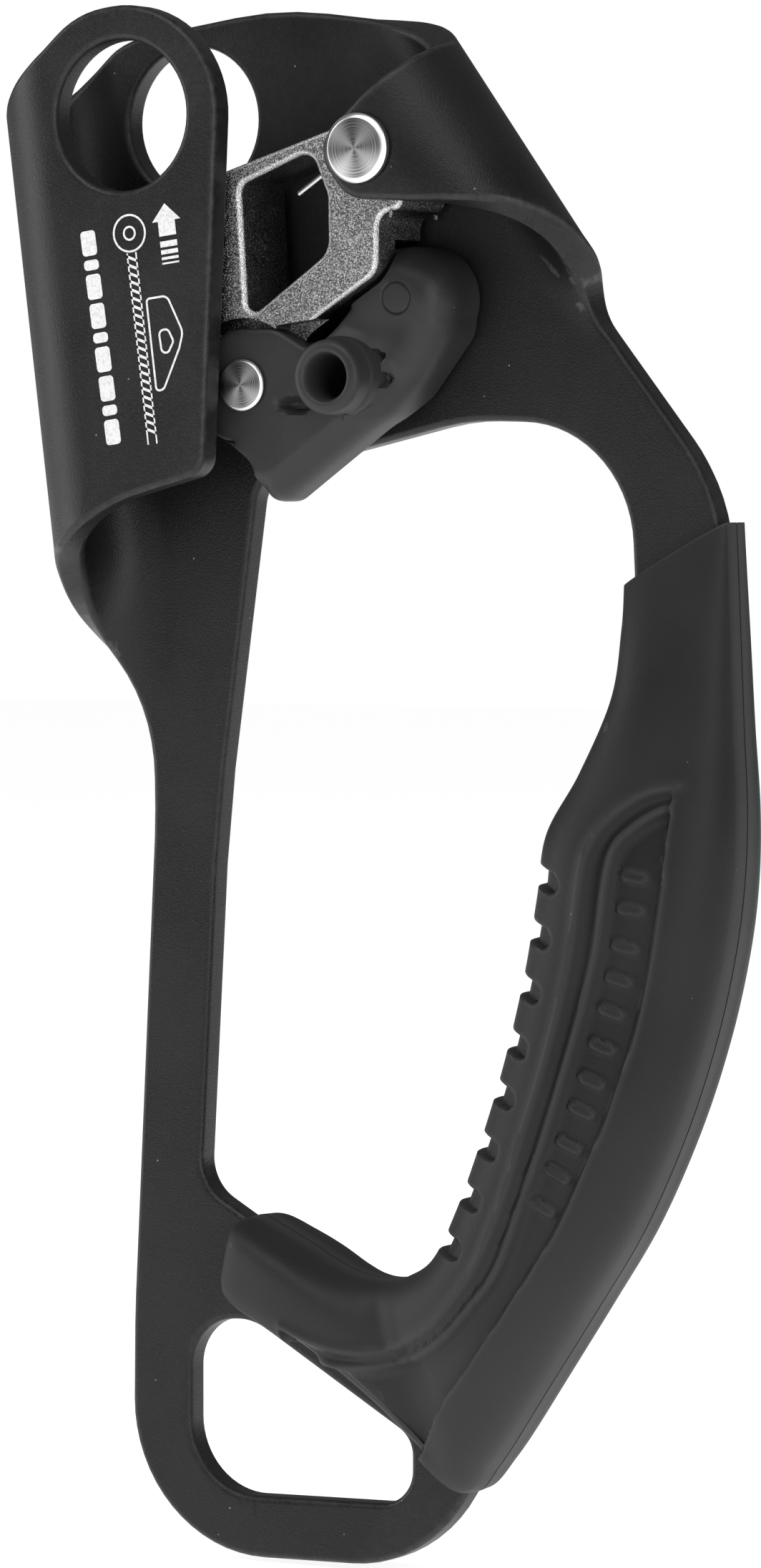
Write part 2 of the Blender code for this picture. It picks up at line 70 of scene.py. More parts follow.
# ---------------------------------------------------------------- table, lights and camera
# The ascender is shown upright over a pale table, lit by two tall soft boxes, one broad light
# overhead and a weak one in front, as small hardware is lit on a packing bench.
MM = 0.001
AIM = Vector((28.0, 7.0, -85.2)) * MM       # the middle of the ascender
AZIMUTH, ELEVATION = math.radians(29.5), math.radians(2.5)
CAMERA_AWAY = 0.9       # metres

on_show = bpy.context.scene.collection.objects
table_mesh = bpy.data.meshes.new("table")
table = bpy.data.objects.new("table", table_mesh)
table_top = cad_low.z - 0.0006
sheet = bmesh.new()
level_place = Matrix.Translation((0, 0, table_top))
bmesh.ops.create_grid(sheet, x_segments=2, y_segments=2, size=3.0, matrix=level_place)
sheet.to_mesh(table_mesh)
sheet.free()
on_show.link(table)
pale = bpy.data.materials.new("pale_card")
pale.use_nodes = True
card = pale.node_tree.nodes["Principled BSDF"]
card.inputs["Base Color"].default_value = (0.80, 0.80, 0.80, 1.0)
card.inputs["Roughness"].default_value = 0.9
card.inputs["Emission Color"].default_value = (1.0, 1.0, 1.0, 1.0)
card.inputs["Emission Strength"].default_value = 0.85
table_mesh.materials.append(pale)

room = bpy.data.worlds.new("studio")
bpy.context.scene.world = room
room.use_nodes = True
room_tree = room.node_tree
dim_wall = room_tree.nodes["Background"]
dim_wall.inputs["Color"].default_value = (0.16, 0.16, 0.16, 1.0)
white_wall = room_tree.nodes.new("ShaderNodeBackground")
white_wall.inputs["Color"].default_value = (1.0, 1.0, 1.0, 1.0)
seen = room_tree.nodes.new("ShaderNodeLightPath")
either = room_tree.nodes.new("ShaderNodeMixShader")
room_tree.links.new(seen.outputs["Is Camera Ray"], either.inputs["Fac"])
room_tree.links.new(dim_wall.outputs["Background"], either.inputs[1])
room_tree.links.new(white_wall.outputs["Background"], either.inputs[2])
room_tree.links.new(either.outputs["Shader"], room_tree.nodes["World Output"].inputs["Surface"])

for name, place, wide, high, watts in (
        ("soft_box_left", (-0.85, -0.30, 0.10), 0.35, 1.1, 4.0),
        ("soft_box_right", (0.82, -0.58, 0.10), 0.45, 1.1, 4.6),
        ("soft_box_above", (0.0, -0.50, 0.85), 0.9, 0.5, 4.2),
        ("front_fill", (0.0, -1.25, -0.25), 0.7, 0.5, 1.5)):
    lamp = bpy.data.lights.new(name, "AREA")
    lamp.shape = "RECTANGLE"
    lamp.size = wide
    lamp.size_y = high
    lamp.energy = watts
    holder = bpy.data.objects.new(name, lamp)
    holder.location = AIM + Vector(place)
    holder.rotation_euler = (AIM - holder.location).to_track_quat("-Z", "Y").to_euler()
    on_show.link(holder)

eye = bpy.data.cameras.new("camera")
eye.lens = 161.5
eye.sensor_fit = "VERTICAL"
eye.sensor_height = 36.0
eye.clip_start = 0.01
camera = bpy.data.objects.new("camera", eye)
level = math.cos(ELEVATION)
camera.location = AIM + CAMERA_AWAY * Vector((
    math.sin(AZIMUTH) * level, -math.cos(AZIMUTH) * level, math.sin(ELEVATION)))
camera.rotation_euler = (AIM - camera.location).to_track_quat("-Z", "Y").to_euler()
on_show.link(camera)
bpy.context.scene.camera = camera
bpy.context.scene.view_settings.view_transform = "Standard"

# ---------------------------------------------------------------- bent plate
# One 4 mm plate of aluminium alloy carries everything. It is punched flat, its edges are
# tumbled round, the rope channel and the ear are folded over, and the whole is anodised black.
PLATE = 4.0
INNER = 7.0             # half the channel's width, and the front face of the main plate
OUTER = INNER + PLATE
NEUTRAL = INNER + PLATE / 2
HALF_TURN = math.pi * NEUTRAL
EDGE = 0.85             # radius of the tumbled edges
EYE_R = 9.6
CAM_AXIS = (35.2, -5.0)
AXLE_R = 3.0


def finish(name, color, roughness, metallic=0.0, specular=0.5):
    """A new material, with its node tree and its Principled shader."""
    material = bpy.data.materials.new(name)
    material.use_nodes = True
    shader = material.node_tree.nodes["Principled BSDF"]
    shader.inputs["Base Color"].default_value = (*color, 1.0)
    shader.inputs["Roughness"].default_value = roughness
    shader.inputs["Metallic"].default_value = metallic
    shader.inputs["Specular IOR Level"].default_value = specular
    return material, material.node_tree, shader


def texture(tree, kind, output, **settings):
    """A procedural texture laid out in the object's own metres."""
    made = tree.nodes.new(kind)
    for key, value in settings.items():
        made.inputs[key].default_value = value
    tree.links.new(tree.nodes.new("ShaderNodeTexCoord").outputs["Object"], made.inputs["Vector"])
    return made.outputs[output]


def noise(tree, scale, detail, roughness=0.5):
    return texture(tree, "ShaderNodeTexNoise", "Fac", Scale=scale, Detail=detail, Roughness=roughness)


def cells(tree, scale):
    return texture(tree, "ShaderNodeTexVoronoi", "Distance", Scale=scale)


def ramp(tree, source, low, high, dark, light):
    """Turn a source between low and high into a value or colour between dark and light."""
    fade = tree.nodes.new("ShaderNodeMapRange")
    fade.inputs["From Min"].default_value = low
    fade.inputs["From Max"].default_value = high
    fade.inputs["To Min"].default_value = dark
    fade.inputs["To Max"].default_value = light
    tree.links.new(source, fade.inputs["Value"])
    return fade.outputs["Result"]


def tint(tree, amount, first, second):
    """Mix two colours by an amount. Each is a socket, a grey or an RGB colour."""
    mix = tree.nodes.new("ShaderNodeMix")
    mix.data_type = "RGBA"
    tree.links.new(amount, mix.inputs["Factor"])
    for slot, value in (("A", first), ("B", second)):
        target = next(s for s in mix.inputs if s.name == slot and s.type == "RGBA")
        if isinstance(value, float):
            value = (value, value, value)
        if isinstance(value, tuple):
            target.default_value = (*value, 1.0)
        else:
            tree.links.new(value, target)
    return next(s for s in mix.outputs if s.type == "RGBA")


def blend(tree, source, low, high, first, second, most=1.0):
    """Go from a first colour towards a second one as a source rises from low to high."""
    return tint(tree, ramp(tree, source, low, high, 0.0, most), first, second)


def flecked(tree, under, scale, near, far, strength, fleck):
    """Scatter flecks of dust over a colour: solid out to near, and gone by far."""
    return tint(tree, ramp(tree, cells(tree, scale), near, far, strength, 0.0), under, fleck)


def figure(tree, operation, *values):
    """One maths step on sockets and numbers."""
    step = tree.nodes.new("ShaderNodeMath")
    step.operation = operation
    for slot, value in zip(step.inputs, values):
        if isinstance(value, float):
            slot.default_value = value
        else:
            tree.links.new(value, slot)
    return step.outputs["Value"]


def part_of(tree, kind, axis):
    """One axis of the object's own place or normal, or of the place within its box."""
    apart = tree.nodes.new("ShaderNodeSeparateXYZ")
    tree.links.new(tree.nodes.new("ShaderNodeTexCoord").outputs[kind], apart.inputs["Vector"])
    return apart.outputs[axis]


def roughen(tree, shader, height, depth, strength=1.0):
    """Bump the surface by a height socket; several calls add up."""
    bump = tree.nodes.new("ShaderNodeBump")
    bump.inputs["Distance"].default_value = depth * MM
    bump.inputs["Strength"].default_value = strength
    tree.links.new(height, bump.inputs["Height"])
    if shader.inputs["Normal"].links:
        tree.links.new(shader.inputs["Normal"].links[0].from_socket, bump.inputs["Normal"])
    tree.links.new(bump.outputs["Normal"], shader.inputs["Normal"])


def rounded(corners, step_deg=6.0):
    """Closed outline from (x, z, radius) corners, each corner turned into an arc."""
    points = []
    count = len(corners)
    for index, (x, z, radius) in enumerate(corners):
        here = Vector((x, z))
        before = (Vector(corners[index - 1][:2]) - here).normalized()
        after = (Vector(corners[(index + 1) % count][:2]) - here).normalized()
        half = before.angle(after) / 2
        turn = math.pi - 2 * half
        if radius == 0 or turn < math.radians(1.0):
            points.append(here)
            continue
        centre = here + (before + after).normalized() * radius / math.sin(half)
        start = here + before * radius / math.tan(half) - centre
        side = 1.0 if before.cross(after) < 0 else -1.0
        steps = max(1, math.ceil(math.degrees(turn) / step_deg))
        for k in range(steps + 1):
            angle = side * turn * k / steps
            c, s = math.cos(angle), math.sin(angle)
            points.append(centre + Vector((c * start.x - s * start.y, s * start.x + c * start.y)))
    return [p for k, p in enumerate(points) if (p - points[k - 1]).length > 0.04]


def circle(centre, radius, count=64):
    angles = [2 * math.pi * k / count for k in range(count)]
    return [Vector((centre[0] + radius * math.cos(a), centre[1] + radius * math.sin(a))) for a in angles]


def grown(outline, distance):
    """The outline moved outwards by a distance, whichever way round it runs."""
    count = len(outline)
    area = sum(outline[k - 1].cross(outline[k]) for k in range(count))
    moved = []
    for k, point in enumerate(outline):
        along = (outline[(k + 1) % count] - outline[k - 1]).normalized()
        moved.append(point + Vector((along.y, -along.x)) * math.copysign(1.0, area) * distance)
    return moved


def bridge(bm, rings):
    """Join rings of as many verts, each to the next one."""
    for first, second in zip(rings, rings[1:]):
        for k in range(len(first)):
            n = (k + 1) % len(first)
            bm.faces.new((first[k], first[n], second[n], second[k]))


def plate(outline, holes, y0, y1, edge, steps=4):
    """Flat plate with rounded edges. holes is a list of (outline, edge radius)."""
    bm = bmesh.new()
    rims = ([], [])
    angles = [math.pi / 2 * k / steps for k in range(steps + 1)]
    for loop, radius, inwards in ((outline, edge, -1), *((hole, r, 1) for hole, r in holes)):
        profile = [(radius * (1 - math.sin(a)), y0 + radius * (1 - math.cos(a))) for a in angles]
        profile += [(inset, y0 + y1 - y) for inset, y in reversed(profile)]
        rings = [[bm.verts.new((p.x, y, p.y)) for p in grown(loop, inwards * inset)]
                 for inset, y in profile]
        bridge(bm, rings)
        for rim, ring in zip(rims, (rings[0], rings[-1])):
            rim += [bm.edges.get(pair) for pair in zip(ring, ring[1:] + ring[:1])]
    for rim in rims:
        bmesh.ops.triangle_fill(bm, edges=rim, use_beauty=True)
    return bm


def piece(name, bm, material, body, nodes, sharp_deg=40.0, weighted=False):
    """Write a bmesh in millimetres to an object, and say what it rides on and stands for."""
    bmesh.ops.recalc_face_normals(bm, faces=bm.faces)
    for vert in bm.verts:
        vert.co = vert.co * MM
    mesh = bpy.data.meshes.new(name)
    bm.to_mesh(mesh)
    bm.free()
    mesh.shade_smooth()
    mesh.set_sharp_from_angle(angle=math.radians(sharp_deg))
    mesh.materials.append(material)
    obj = bpy.data.objects.new(name, mesh)
    on_show.link(obj)
    if weighted:
        normals = obj.modifiers.new("even flats", "WEIGHTED_NORMAL")
        normals.keep_sharp = True
        normals.weight = 80
    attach(obj, body)
    if nodes:
        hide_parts(*nodes)
    return obj


class Bend:
    """A half-turn fold of the plate about a line in the XZ plane, running out between the fades.

    s is the distance past the line on the flat blank and t the distance along it.
    """

    def __init__(self, start, lean_deg, outward, fade):
        lean = math.radians(lean_deg)
        self.start = Vector(start)
        self.along = Vector((math.sin(lean), -math.cos(lean)))
        self.out = Vector((outward * math.cos(lean), outward * math.sin(lean)))
        self.fade = fade

    def blank(self, s, t):
        return self.start + self.along * t + self.out * s

    def on(self, s, t, radius):
        return (*self.blank(s, t), radius)

    def flat_place(self, point):
        away = Vector(point) - self.start
        return self.blank(HALF_TURN - away.dot(self.out), away.dot(self.along))

    def measure(self, co):
        away = Vector((co.x, co.z)) - self.start
        return away.dot(self.out), away.dot(self.along)

    def strip(self, bm, strips, fade_strips, owns):
        """Cut the blank into narrow strips across the fold, and where it runs out."""
        planes = [(self.blank(HALF_TURN * k / strips, 0.0), self.out) for k in range(strips + 1)]
        first, last = self.fade
        for k in range(fade_strips + 1):
            planes.append((self.blank(0.0, first + (last - first) * k / fade_strips), self.along))
        for point, normal in planes:
            near = [f for f in bm.faces
                    if owns(f.calc_center_median()) and any(self.measure(v.co)[0] > -0.01 for v in f.verts)]
            geom = list({item for f in near for item in (*f.verts, *f.edges, f)})
            bmesh.ops.bisect_plane(bm, geom=geom, dist=1e-5,
                                   plane_co=(point.x, 0.0, point.y), plane_no=(normal.x, 0.0, normal.y))

    def folded(self, co):
        """Where the fold carries one point of the flat blank."""
        s, t = self.measure(co)
        first, last = self.fade
        u = min(max((t - first) / (last - first), 0.0), 1.0)
        strength = 1.0 - u * u * (3.0 - 2.0 * u)
        if s <= 0 or strength < 0.001:
            return co
        radius = NEUTRAL / strength
        depth = co.y - NEUTRAL
        angle = min(s / radius, math.pi)
        straight = s - angle * radius
        out = (radius + depth) * math.sin(angle) + straight * math.cos(angle)
        y = NEUTRAL - radius + (radius + depth) * math.cos(angle) - straight * math.sin(angle)
        place = self.start + self.along * t + self.out * out
        return Vector((place.x, y, place.y))


CURL = Bend(start=(-11.0, 1.5), lean_deg=7.26, outward=-1, fade=(56.0, 80.0))
EAR = Bend(start=(33.0, 2.5), lean_deg=35.9, outward=1, fade=(30.0, 42.0))
BETWEEN = 15.0          # the two folds lie left and right of this x

# The blank, anticlockwise from the flange's top, as corners with radii.
BLANK = [
    CURL.on(34.0, -11.1, 13.0), CURL.on(55.8, -11.1, 14.0), CURL.on(45.3, 49.6, 3.0),
    (-35.6, -53.5, 25.0), (-20.4, -58.8, 12.0), (-6.3, -76.6, 25.0), (-6.1, -91.0, 60.0),
    (-9.3, -155.0, 100.0), (-9.6, -186.5, 19.5), (34.6, -185.8, 20.0), (76.6, -115.0, 75.0),
    (76.8, -50.4, 24.0), (72.3, -42.6, 22.0), EAR.on(4.3, 36.5, 7.0), EAR.on(36.3, 11.1, 5.0),
    EAR.on(36.3, 3.1, 4.0), EAR.on(13.2, 0.1, 4.0), (13.0, 14.2, 50.0),
    CURL.on(-1.2, -9.1, 12.0), CURL.on(14.8, 2.3, 10.0),
]
HAND = [
    (9.7, -45.9, 5.0), (40.5, -38.8, 30.0), (63.4, -39.4, 16.0), (64.8, -70.0, 20.0),
    (56.6, -92.0, 20.0), (47.2, -135.0, 60.0), (35.0, -151.7, 12.0), (25.0, -151.7, 12.0),
    (1.0, -137.9, 6.0), (3.6, -90.0, 150.0),
]
LOWER_EYE = [
    (-0.5, -155.8, 6.5), (8.5, -155.1, 8.0), (32.4, -169.1, 4.0), (32.4, -177.7, 4.5),
    (-0.5, -178.3, 9.5),
]
blank_holes = [(rounded(HAND), EDGE), (rounded(LOWER_EYE), EDGE), (circle((0.0, 0.0), EYE_R), EDGE)]
blank_holes.append((circle(CURL.flat_place((0.0, 0.0)), EYE_R), EDGE))
PLAY = 0.3              # between a pin and its hole
for centre in (CAM_AXIS, EAR.flat_place(CAM_AXIS)):
    blank_holes.append((circle(centre, AXLE_R + PLAY, 32), 0.3))
blank = plate(rounded(BLANK), blank_holes, INNER, OUTER, EDGE)
CURL.strip(blank, 44, 14, lambda co: co.x < BETWEEN)
EAR.strip(blank, 44, 10, lambda co: co.x >= BETWEEN)
bmesh.ops.triangulate(blank, faces=[f for f in blank.faces if len(f.verts) > 4])
for vert in blank.verts:
    vert.co = (CURL if vert.co.x < BETWEEN else EAR).folded(vert.co)

anodised, tree, shader = finish("black_anodised", (0.008, 0.008, 0.0085), 0.44, specular=0.32)
# Pointiness lightens the tumbled edges towards a pale grey: partly worn anodising, partly a painted highlight
# along the rounded edges.
edge_wear_and_highlight = ramp(tree, tree.nodes.new("ShaderNodeNewGeometry").outputs["Pointiness"], 0.51, 0.60, 0.0, 1.0)
patchy = noise(tree, 900.0, 3.0)
worn_and_lit_edges = figure(tree, "MULTIPLY", edge_wear_and_highlight, ramp(tree, patchy, 0.35, 0.6, 0.25, 1.0))
clouds = noise(tree, 70.0, 4.0)
grain = noise(tree, 4600.0, 2.0)
skin = blend(tree, clouds, 0.35, 0.65, (0.006, 0.006, 0.0063), (0.010, 0.010, 0.0104))
skin = blend(tree, grain, 0.50, 0.75, skin, (0.022, 0.022, 0.0225), 0.6)
skin = tint(tree, worn_and_lit_edges, skin, (0.075, 0.075, 0.078))
skin = flecked(tree, skin, 230.0, 0.020, 0.032, 0.7, 0.30)
tree.links.new(skin, shader.inputs["Base Color"])
tree.links.new(ramp(tree, clouds, 0.3, 0.7, 0.33, 0.43), shader.inputs["Roughness"])
roughen(tree, shader, grain, 0.08, 0.7)
piece("bent_plate", blank, anodised, "frame_body", ["frame"], weighted=True)

# ---------------------------------------------------------------- marks on the flange
# White pad-printed marks: an arrow with bars for the way up, a rope under a ring beside a plain
# case, and a column of blocks. The ink is a film a few hundredths of a millimetre thick.
FLANGE_FRONT = -OUTER
INK, SUNK = 0.04, 0.02  # how far the film stands out, and how far its back is bedded


def thicken(bm, faces, y):
    """Push a copy of flat faces out to a y, with walls between."""
    made = bmesh.ops.extrude_face_region(bm, geom=faces)
    for item in made["geom"]:
        if isinstance(item, bmesh.types.BMVert):
            item.co.y = y


def print_shape(bm, outline, holes=()):
    """Add one flat printed shape, with its holes, just proud of the flange."""
    edges = []
    for loop in (outline, *holes):
        verts = [bm.verts.new((p[0], FLANGE_FRONT - INK, p[1])) for p in loop]
        edges += [bm.edges.new((a, b)) for a, b in zip(verts, verts[1:] + verts[:1])]
    made = bmesh.ops.triangle_fill(bm, edges=edges, use_beauty=True)
    faces = [item for item in made["geom"] if isinstance(item, bmesh.types.BMFace)]
    thicken(bm, faces, FLANGE_FRONT + SUNK)


def slanted(centre, lean_deg, points):
    """Points given across and along a leaning line, as places on the flange."""
    lean = math.radians(lean_deg)
    along, across = Vector((math.sin(lean), -math.cos(lean))), Vector((math.cos(lean), math.sin(lean)))
    return [Vector(centre) + across * x + along * z for x, z in points]


marks = bmesh.new()
ARROW_TIP, MARK_LEAN, SHAFT = (6.7, -11.3), 7.3, 1.25
arrow = [(0, 0), (2.1, 2.2), (SHAFT, 2.2), (SHAFT, 4.1), (-SHAFT, 4.1), (-SHAFT, 2.2), (-2.1, 2.2)]
print_shape(marks, slanted(ARROW_TIP, MARK_LEAN, arrow))
for top, thick in ((4.75, 0.75), (5.85, 0.55), (6.75, 0.35), (7.45, 0.22)):
    bar = [(-SHAFT, top), (SHAFT, top), (SHAFT, top + thick), (-SHAFT, top + thick)]
    print_shape(marks, slanted(ARROW_TIP, MARK_LEAN, bar))
RING_CENTRE, LINE = (1.5, -15.0), 0.26
for radius, count in ((2.45, 64), (0.95, 32)):
    print_shape(marks, circle(RING_CENTRE, radius, count), [circle(RING_CENTRE, radius - LINE, count)])
ROPE_HALF, ROPE_LINE, ROPE_TOP, ROPE_END = 0.75, 0.2, 2.5, 27.0
for side in (-1, 1):
    outside, inside = side * ROPE_HALF, side * (ROPE_HALF - ROPE_LINE)
    print_shape(marks, slanted(RING_CENTRE, MARK_LEAN, [
        (outside, ROPE_TOP), (inside, ROPE_TOP), (inside, ROPE_END), (outside, ROPE_END)]))
STRANDS, TWIST, STRAND_RISE, STRAND_THICK = 22, 1.05, 0.75, 0.38
for k in range(STRANDS):
    top = ROPE_TOP + ROPE_LINE + TWIST * k
    print_shape(marks, slanted(RING_CENTRE, MARK_LEAN, [
        (-ROPE_HALF, top), (ROPE_HALF, top + STRAND_RISE),
        (ROPE_HALF, top + STRAND_RISE + STRAND_THICK), (-ROPE_HALF, top + STRAND_THICK)]))
CASE_TOP, CASE_END = 8.5, 20.5
case_corners = [
    (1.3, CASE_TOP), (4.6, CASE_TOP), (6.4, CASE_TOP + 5), (5.6, CASE_END - 5), (2.6, CASE_END),
    (1.3, CASE_END)]
window_corners = [
    (2.6, CASE_TOP + 4.2), (4.2, CASE_TOP + 4.2), (4.9, CASE_TOP + 6), (4.3, CASE_END - 5.2),
    (2.8, CASE_END - 2.6)]
for corners, radii in ((case_corners, (0.6, 1.2, 2.0, 2.0, 1.0, 0.6)), (window_corners, [0.8] * 5)):
    drawn = rounded([(*p, r) for p, r in zip(slanted(RING_CENTRE, MARK_LEAN, corners), radii)])
    print_shape(marks, drawn, [grown(drawn, -LINE)])
BLOCK_START, BLOCK_LEAN, BLOCK_HALF, BLOCK_GAP = (-4.8, -14.6), 8.3, 1.1, 0.55
top = 0.0
for long in (3.2, 1.3, 3.2) * 3:
    block = slanted(BLOCK_START, BLOCK_LEAN, [
        (-BLOCK_HALF, top), (BLOCK_HALF, top), (BLOCK_HALF, top + long), (-BLOCK_HALF, top + long)])
    print_shape(marks, rounded([(*p, 0.5) for p in block], 15.0))
    top += long + BLOCK_GAP
ink, tree, shader = finish("white_pad_ink", (0.78, 0.78, 0.78), 0.55)
thin = noise(tree, 2600.0, 3.0)
white = blend(tree, thin, 0.30, 0.55, 0.62, 0.80)
tree.links.new(white, shader.inputs["Base Color"])
film = noise(tree, 5200.0, 2.0)
roughen(tree, shader, film, 0.03, 0.4)
piece("flange_marks", marks, ink, "frame_body", [])

# ---------------------------------------------------------------- cam
# The cam is cast in steel, blasted and chromed, which leaves a fine sparkling skin. It turns
# on the axle; its window saves weight and its arc of teeth bites the rope.
HUB_R = 6.4
CATCH_AXIS = (15.3, -34.3)
RIVET_R = 1.8
LOBE, LOBE_R = (36.3, -23.6), 6.7
CAM_FRONT, CAM_BACK = -5.9, 5.9
TAIL_FRONT = -2.4
ROPE_FACE_R, ROPE_FACE_CENTRE = 38.5, (32.0, -22.0)


def rope_face(angle_deg, proud=0.0):
    """Point on the toothed face, by its angle below the arc's leftmost point."""
    angle = math.radians(180.0 + angle_deg)
    radius = ROPE_FACE_R + proud
    return (ROPE_FACE_CENTRE[0] + radius * math.cos(angle), ROPE_FACE_CENTRE[1] + radius * math.sin(angle))


def arc(centre, radius, first_deg, last_deg, steps):
    """Points on an arc, as corners that need no rounding."""
    angles = [math.radians(first_deg + (last_deg - first_deg) * k / steps) for k in range(steps + 1)]
    return [(centre[0] + radius * math.cos(a), centre[1] + radius * math.sin(a), 0.0) for a in angles]


def turned(centre, profile, segments=72):
    """Solid of revolution about a Y axis, from (radius, y) points."""
    bm = bmesh.new()
    rings = []
    for radius, y in profile:
        if radius == 0:
            rings.append([bm.verts.new((centre[0], y, centre[1]))])
        else:
            rings.append([bm.verts.new((p.x, y, p.y)) for p in circle(centre, radius, segments)])
    pairs = list(zip(rings, rings[1:]))
    if profile[0][0] != 0:
        pairs.append((rings[-1], rings[0]))
    for first, second in pairs:
        for k in range(segments):
            n = (k + 1) % segments
            quad = [ring[j % len(ring)] for ring, j in ((first, k), (first, n), (second, n), (second, k))]
            bm.faces.new(list(dict.fromkeys(quad)))
    return bm


def slab(outline, y0, y1):
    """Plain flat solid, for cutting."""
    bm = bmesh.new()
    thicken(bm, [bm.faces.new([bm.verts.new((p[0], y0, p[1])) for p in outline])], y1)
    return bm


def worked(bm, tools, solver="MANIFOLD"):
    """Cut a bmesh with (bmesh, operation) tools in turn, and give the result as a new bmesh."""
    helpers = []
    for shape in (bm, *(tool for tool, _ in tools)):
        bmesh.ops.recalc_face_normals(shape, faces=shape.faces)
        mesh = bpy.data.meshes.new("blank")
        shape.to_mesh(mesh)
        shape.free()
        helpers.append(bpy.data.objects.new("blank", mesh))
        on_show.link(helpers[-1])
    for helper, (_, operation) in zip(helpers[1:], tools):
        step = helpers[0].modifiers.new("work", "BOOLEAN")
        step.object = helper
        step.operation = operation
        step.solver = solver
    bpy.context.view_layer.update()
    done = bmesh.new()
    done.from_object(helpers[0], bpy.context.evaluated_depsgraph_get())
    for helper in helpers:
        mesh = helper.data
        bpy.data.objects.remove(helper)
        bpy.data.meshes.remove(mesh)
    return done


CAM = [
    (9.8, -8.0, 2.0), (28.5, -2.0, 4.0), *arc(CAM_AXIS, HUB_R, 110, -60, 20), (38.0, -12.8, 1.5),
    (34.8, -12.4, 2.0), (34.7, -20.3, 3.0), (22.2, -28.4, 3.0), (22.2, -41.2, 6.9), (13.0, -41.2, 2.0),
    (9.6, -38.9, 1.0), (-1.2, -38.9, 2.0),
    *((*rope_face(angle), 0.0) for angle in range(22, -13, -2)), (-4.4, -11.4, 2.0),
]
WINDOW = [
    (14.7, -9.0, 1.5), (25.0, -4.8, 2.0), (27.4, -10.5, 3.0), (27.5, -17.6, 3.0), (15.8, -26.0, 1.2),
]
WINDOW_EDGE = 0.8       # any rounder and the window's front and back rims cross
RIVET_HOLE = RIVET_R + PLAY
cam_holes = [
    (rounded(WINDOW), WINDOW_EDGE), (circle(CAM_AXIS, 4.3), 0.2), (circle(CATCH_AXIS, RIVET_HOLE, 32), 0.2)]
cam = plate(rounded(CAM), cam_holes, CAM_FRONT, CAM_BACK, 0.75)
LEG_START, LEG_END = Vector((32.75, -0.76)), Vector((18.9, -9.9))
leg_way = (LEG_END - LEG_START).normalized()
leg_side = Vector((-leg_way.y, leg_way.x)) * 1.1
leg_slot = [LEG_START + leg_way * past + leg_side * side
            for past, side in ((-1, -1), (-1, 1), (12, 1), (12, -1))]
TAIL = [(4, -34), (4, -50), (30, -50), (30, -34), (26.0, -26.0), (20.2, -26.8), (17, -34)]
SPIKE_ROWS, SPIKE_STEP, SPIKE_LEAN, SPIKE_ROOT, SPIKE_TIP = 7, 4.6, 1.2, -1.5, 1.3
spikes = bmesh.new()
for row in range(SPIKE_ROWS):
    angle = -8.0 + SPIKE_STEP * row
    for y in (-4.0, 0.0, 4.0) if row % 2 else (-2.0, 2.0):
        root, tip = (Vector((x, y, z)) for x, z in (
            rope_face(angle, SPIKE_ROOT), rope_face(angle + SPIKE_LEAN, SPIKE_TIP)))
        upright = (tip - root).to_track_quat("Z", "Y").to_matrix().to_4x4()
        place = Matrix.Translation((root + tip) / 2) @ upright
        bmesh.ops.create_cone(spikes, cap_ends=True, segments=14, radius1=1.5, radius2=0.2,
                              depth=(tip - root).length, matrix=place)
cam = worked(cam, [
    (turned(CAM_AXIS, [(0, 0.2), (5.7, 0.2), (5.7, 8), (0, 8)]), "DIFFERENCE"),
    (slab(leg_slot, 0.8, 9), "DIFFERENCE"),
    (turned(CATCH_AXIS, [(0, -8), (8.5, -8), (8.5, TAIL_FRONT), (0, TAIL_FRONT)]), "DIFFERENCE"),
    (slab(TAIL, -8, TAIL_FRONT), "DIFFERENCE"),
    (turned(LOBE, [(0, -1.2), (LOBE_R + 1, -1.2), (LOBE_R + 1, 8), (0, 8)]), "DIFFERENCE"),
    (turned(CATCH_AXIS, [(0, 4.3), (3.6, 4.3), (3.6, 8), (0, 8)]), "DIFFERENCE"),
    (spikes, "UNION")])

cast_chrome, tree, shader = finish("cast_chrome", (0.50, 0.50, 0.50), 0.24, 1.0)
pits = noise(tree, 5200.0, 2.0, 0.8)
shade = noise(tree, 260.0, 3.0)
blasted = blend(tree, pits, 0.42, 0.64, 0.07, 0.58)
# Painted reflection and shade: towards the rope side (x under 12.2 mm) the chrome is darkened, with sparse
# bright specks, to stand in for the black flange mirrored in it.
painted_flange_reflection = blend(tree, pits, 0.56, 0.66, 0.03, 0.75)
tone = blend(tree, part_of(tree, "Object", "X"), 0.0122, 0.0142, painted_flange_reflection, blasted)
# The rounded rims, where the normal turns from square-on towards the side, are lightened: partly polished
# edges, partly a painted highlight on the chrome's rims.
square_on = figure(tree, "ABSOLUTE", part_of(tree, "Normal", "Y"))
polish_and_rim_highlight = figure(tree, "MULTIPLY", ramp(tree, square_on, 0.985, 0.90, 0.0, 1.0),
                    ramp(tree, square_on, 0.10, 0.35, 0.0, 1.0))
polished_and_highlight_grey = blend(tree, pits, 0.40, 0.60, 0.55, 1.0)
tree.links.new(tint(tree, polish_and_rim_highlight, tone, polished_and_highlight_grey), shader.inputs["Base Color"])
tree.links.new(ramp(tree, shade, 0.3, 0.7, 0.14, 0.28), shader.inputs["Roughness"])
roughen(tree, shader, pits, 0.20, 0.9)
piece("toothed_cam", cam, cast_chrome, "cam_body", ["cam"], 35.0, True)

# ---------------------------------------------------------------- cam axle, washer and bush
# The axle is turned from bar: a flat head with a chamfer in front, whose brightness is a painted highlight,
# and a tail that is peened over a washer at the back. It runs in a sintered bronze bush pressed into the cam.
FANS, FAN_TURN = 4.0, -0.6      # highlights round a faced end, and how far they are turned


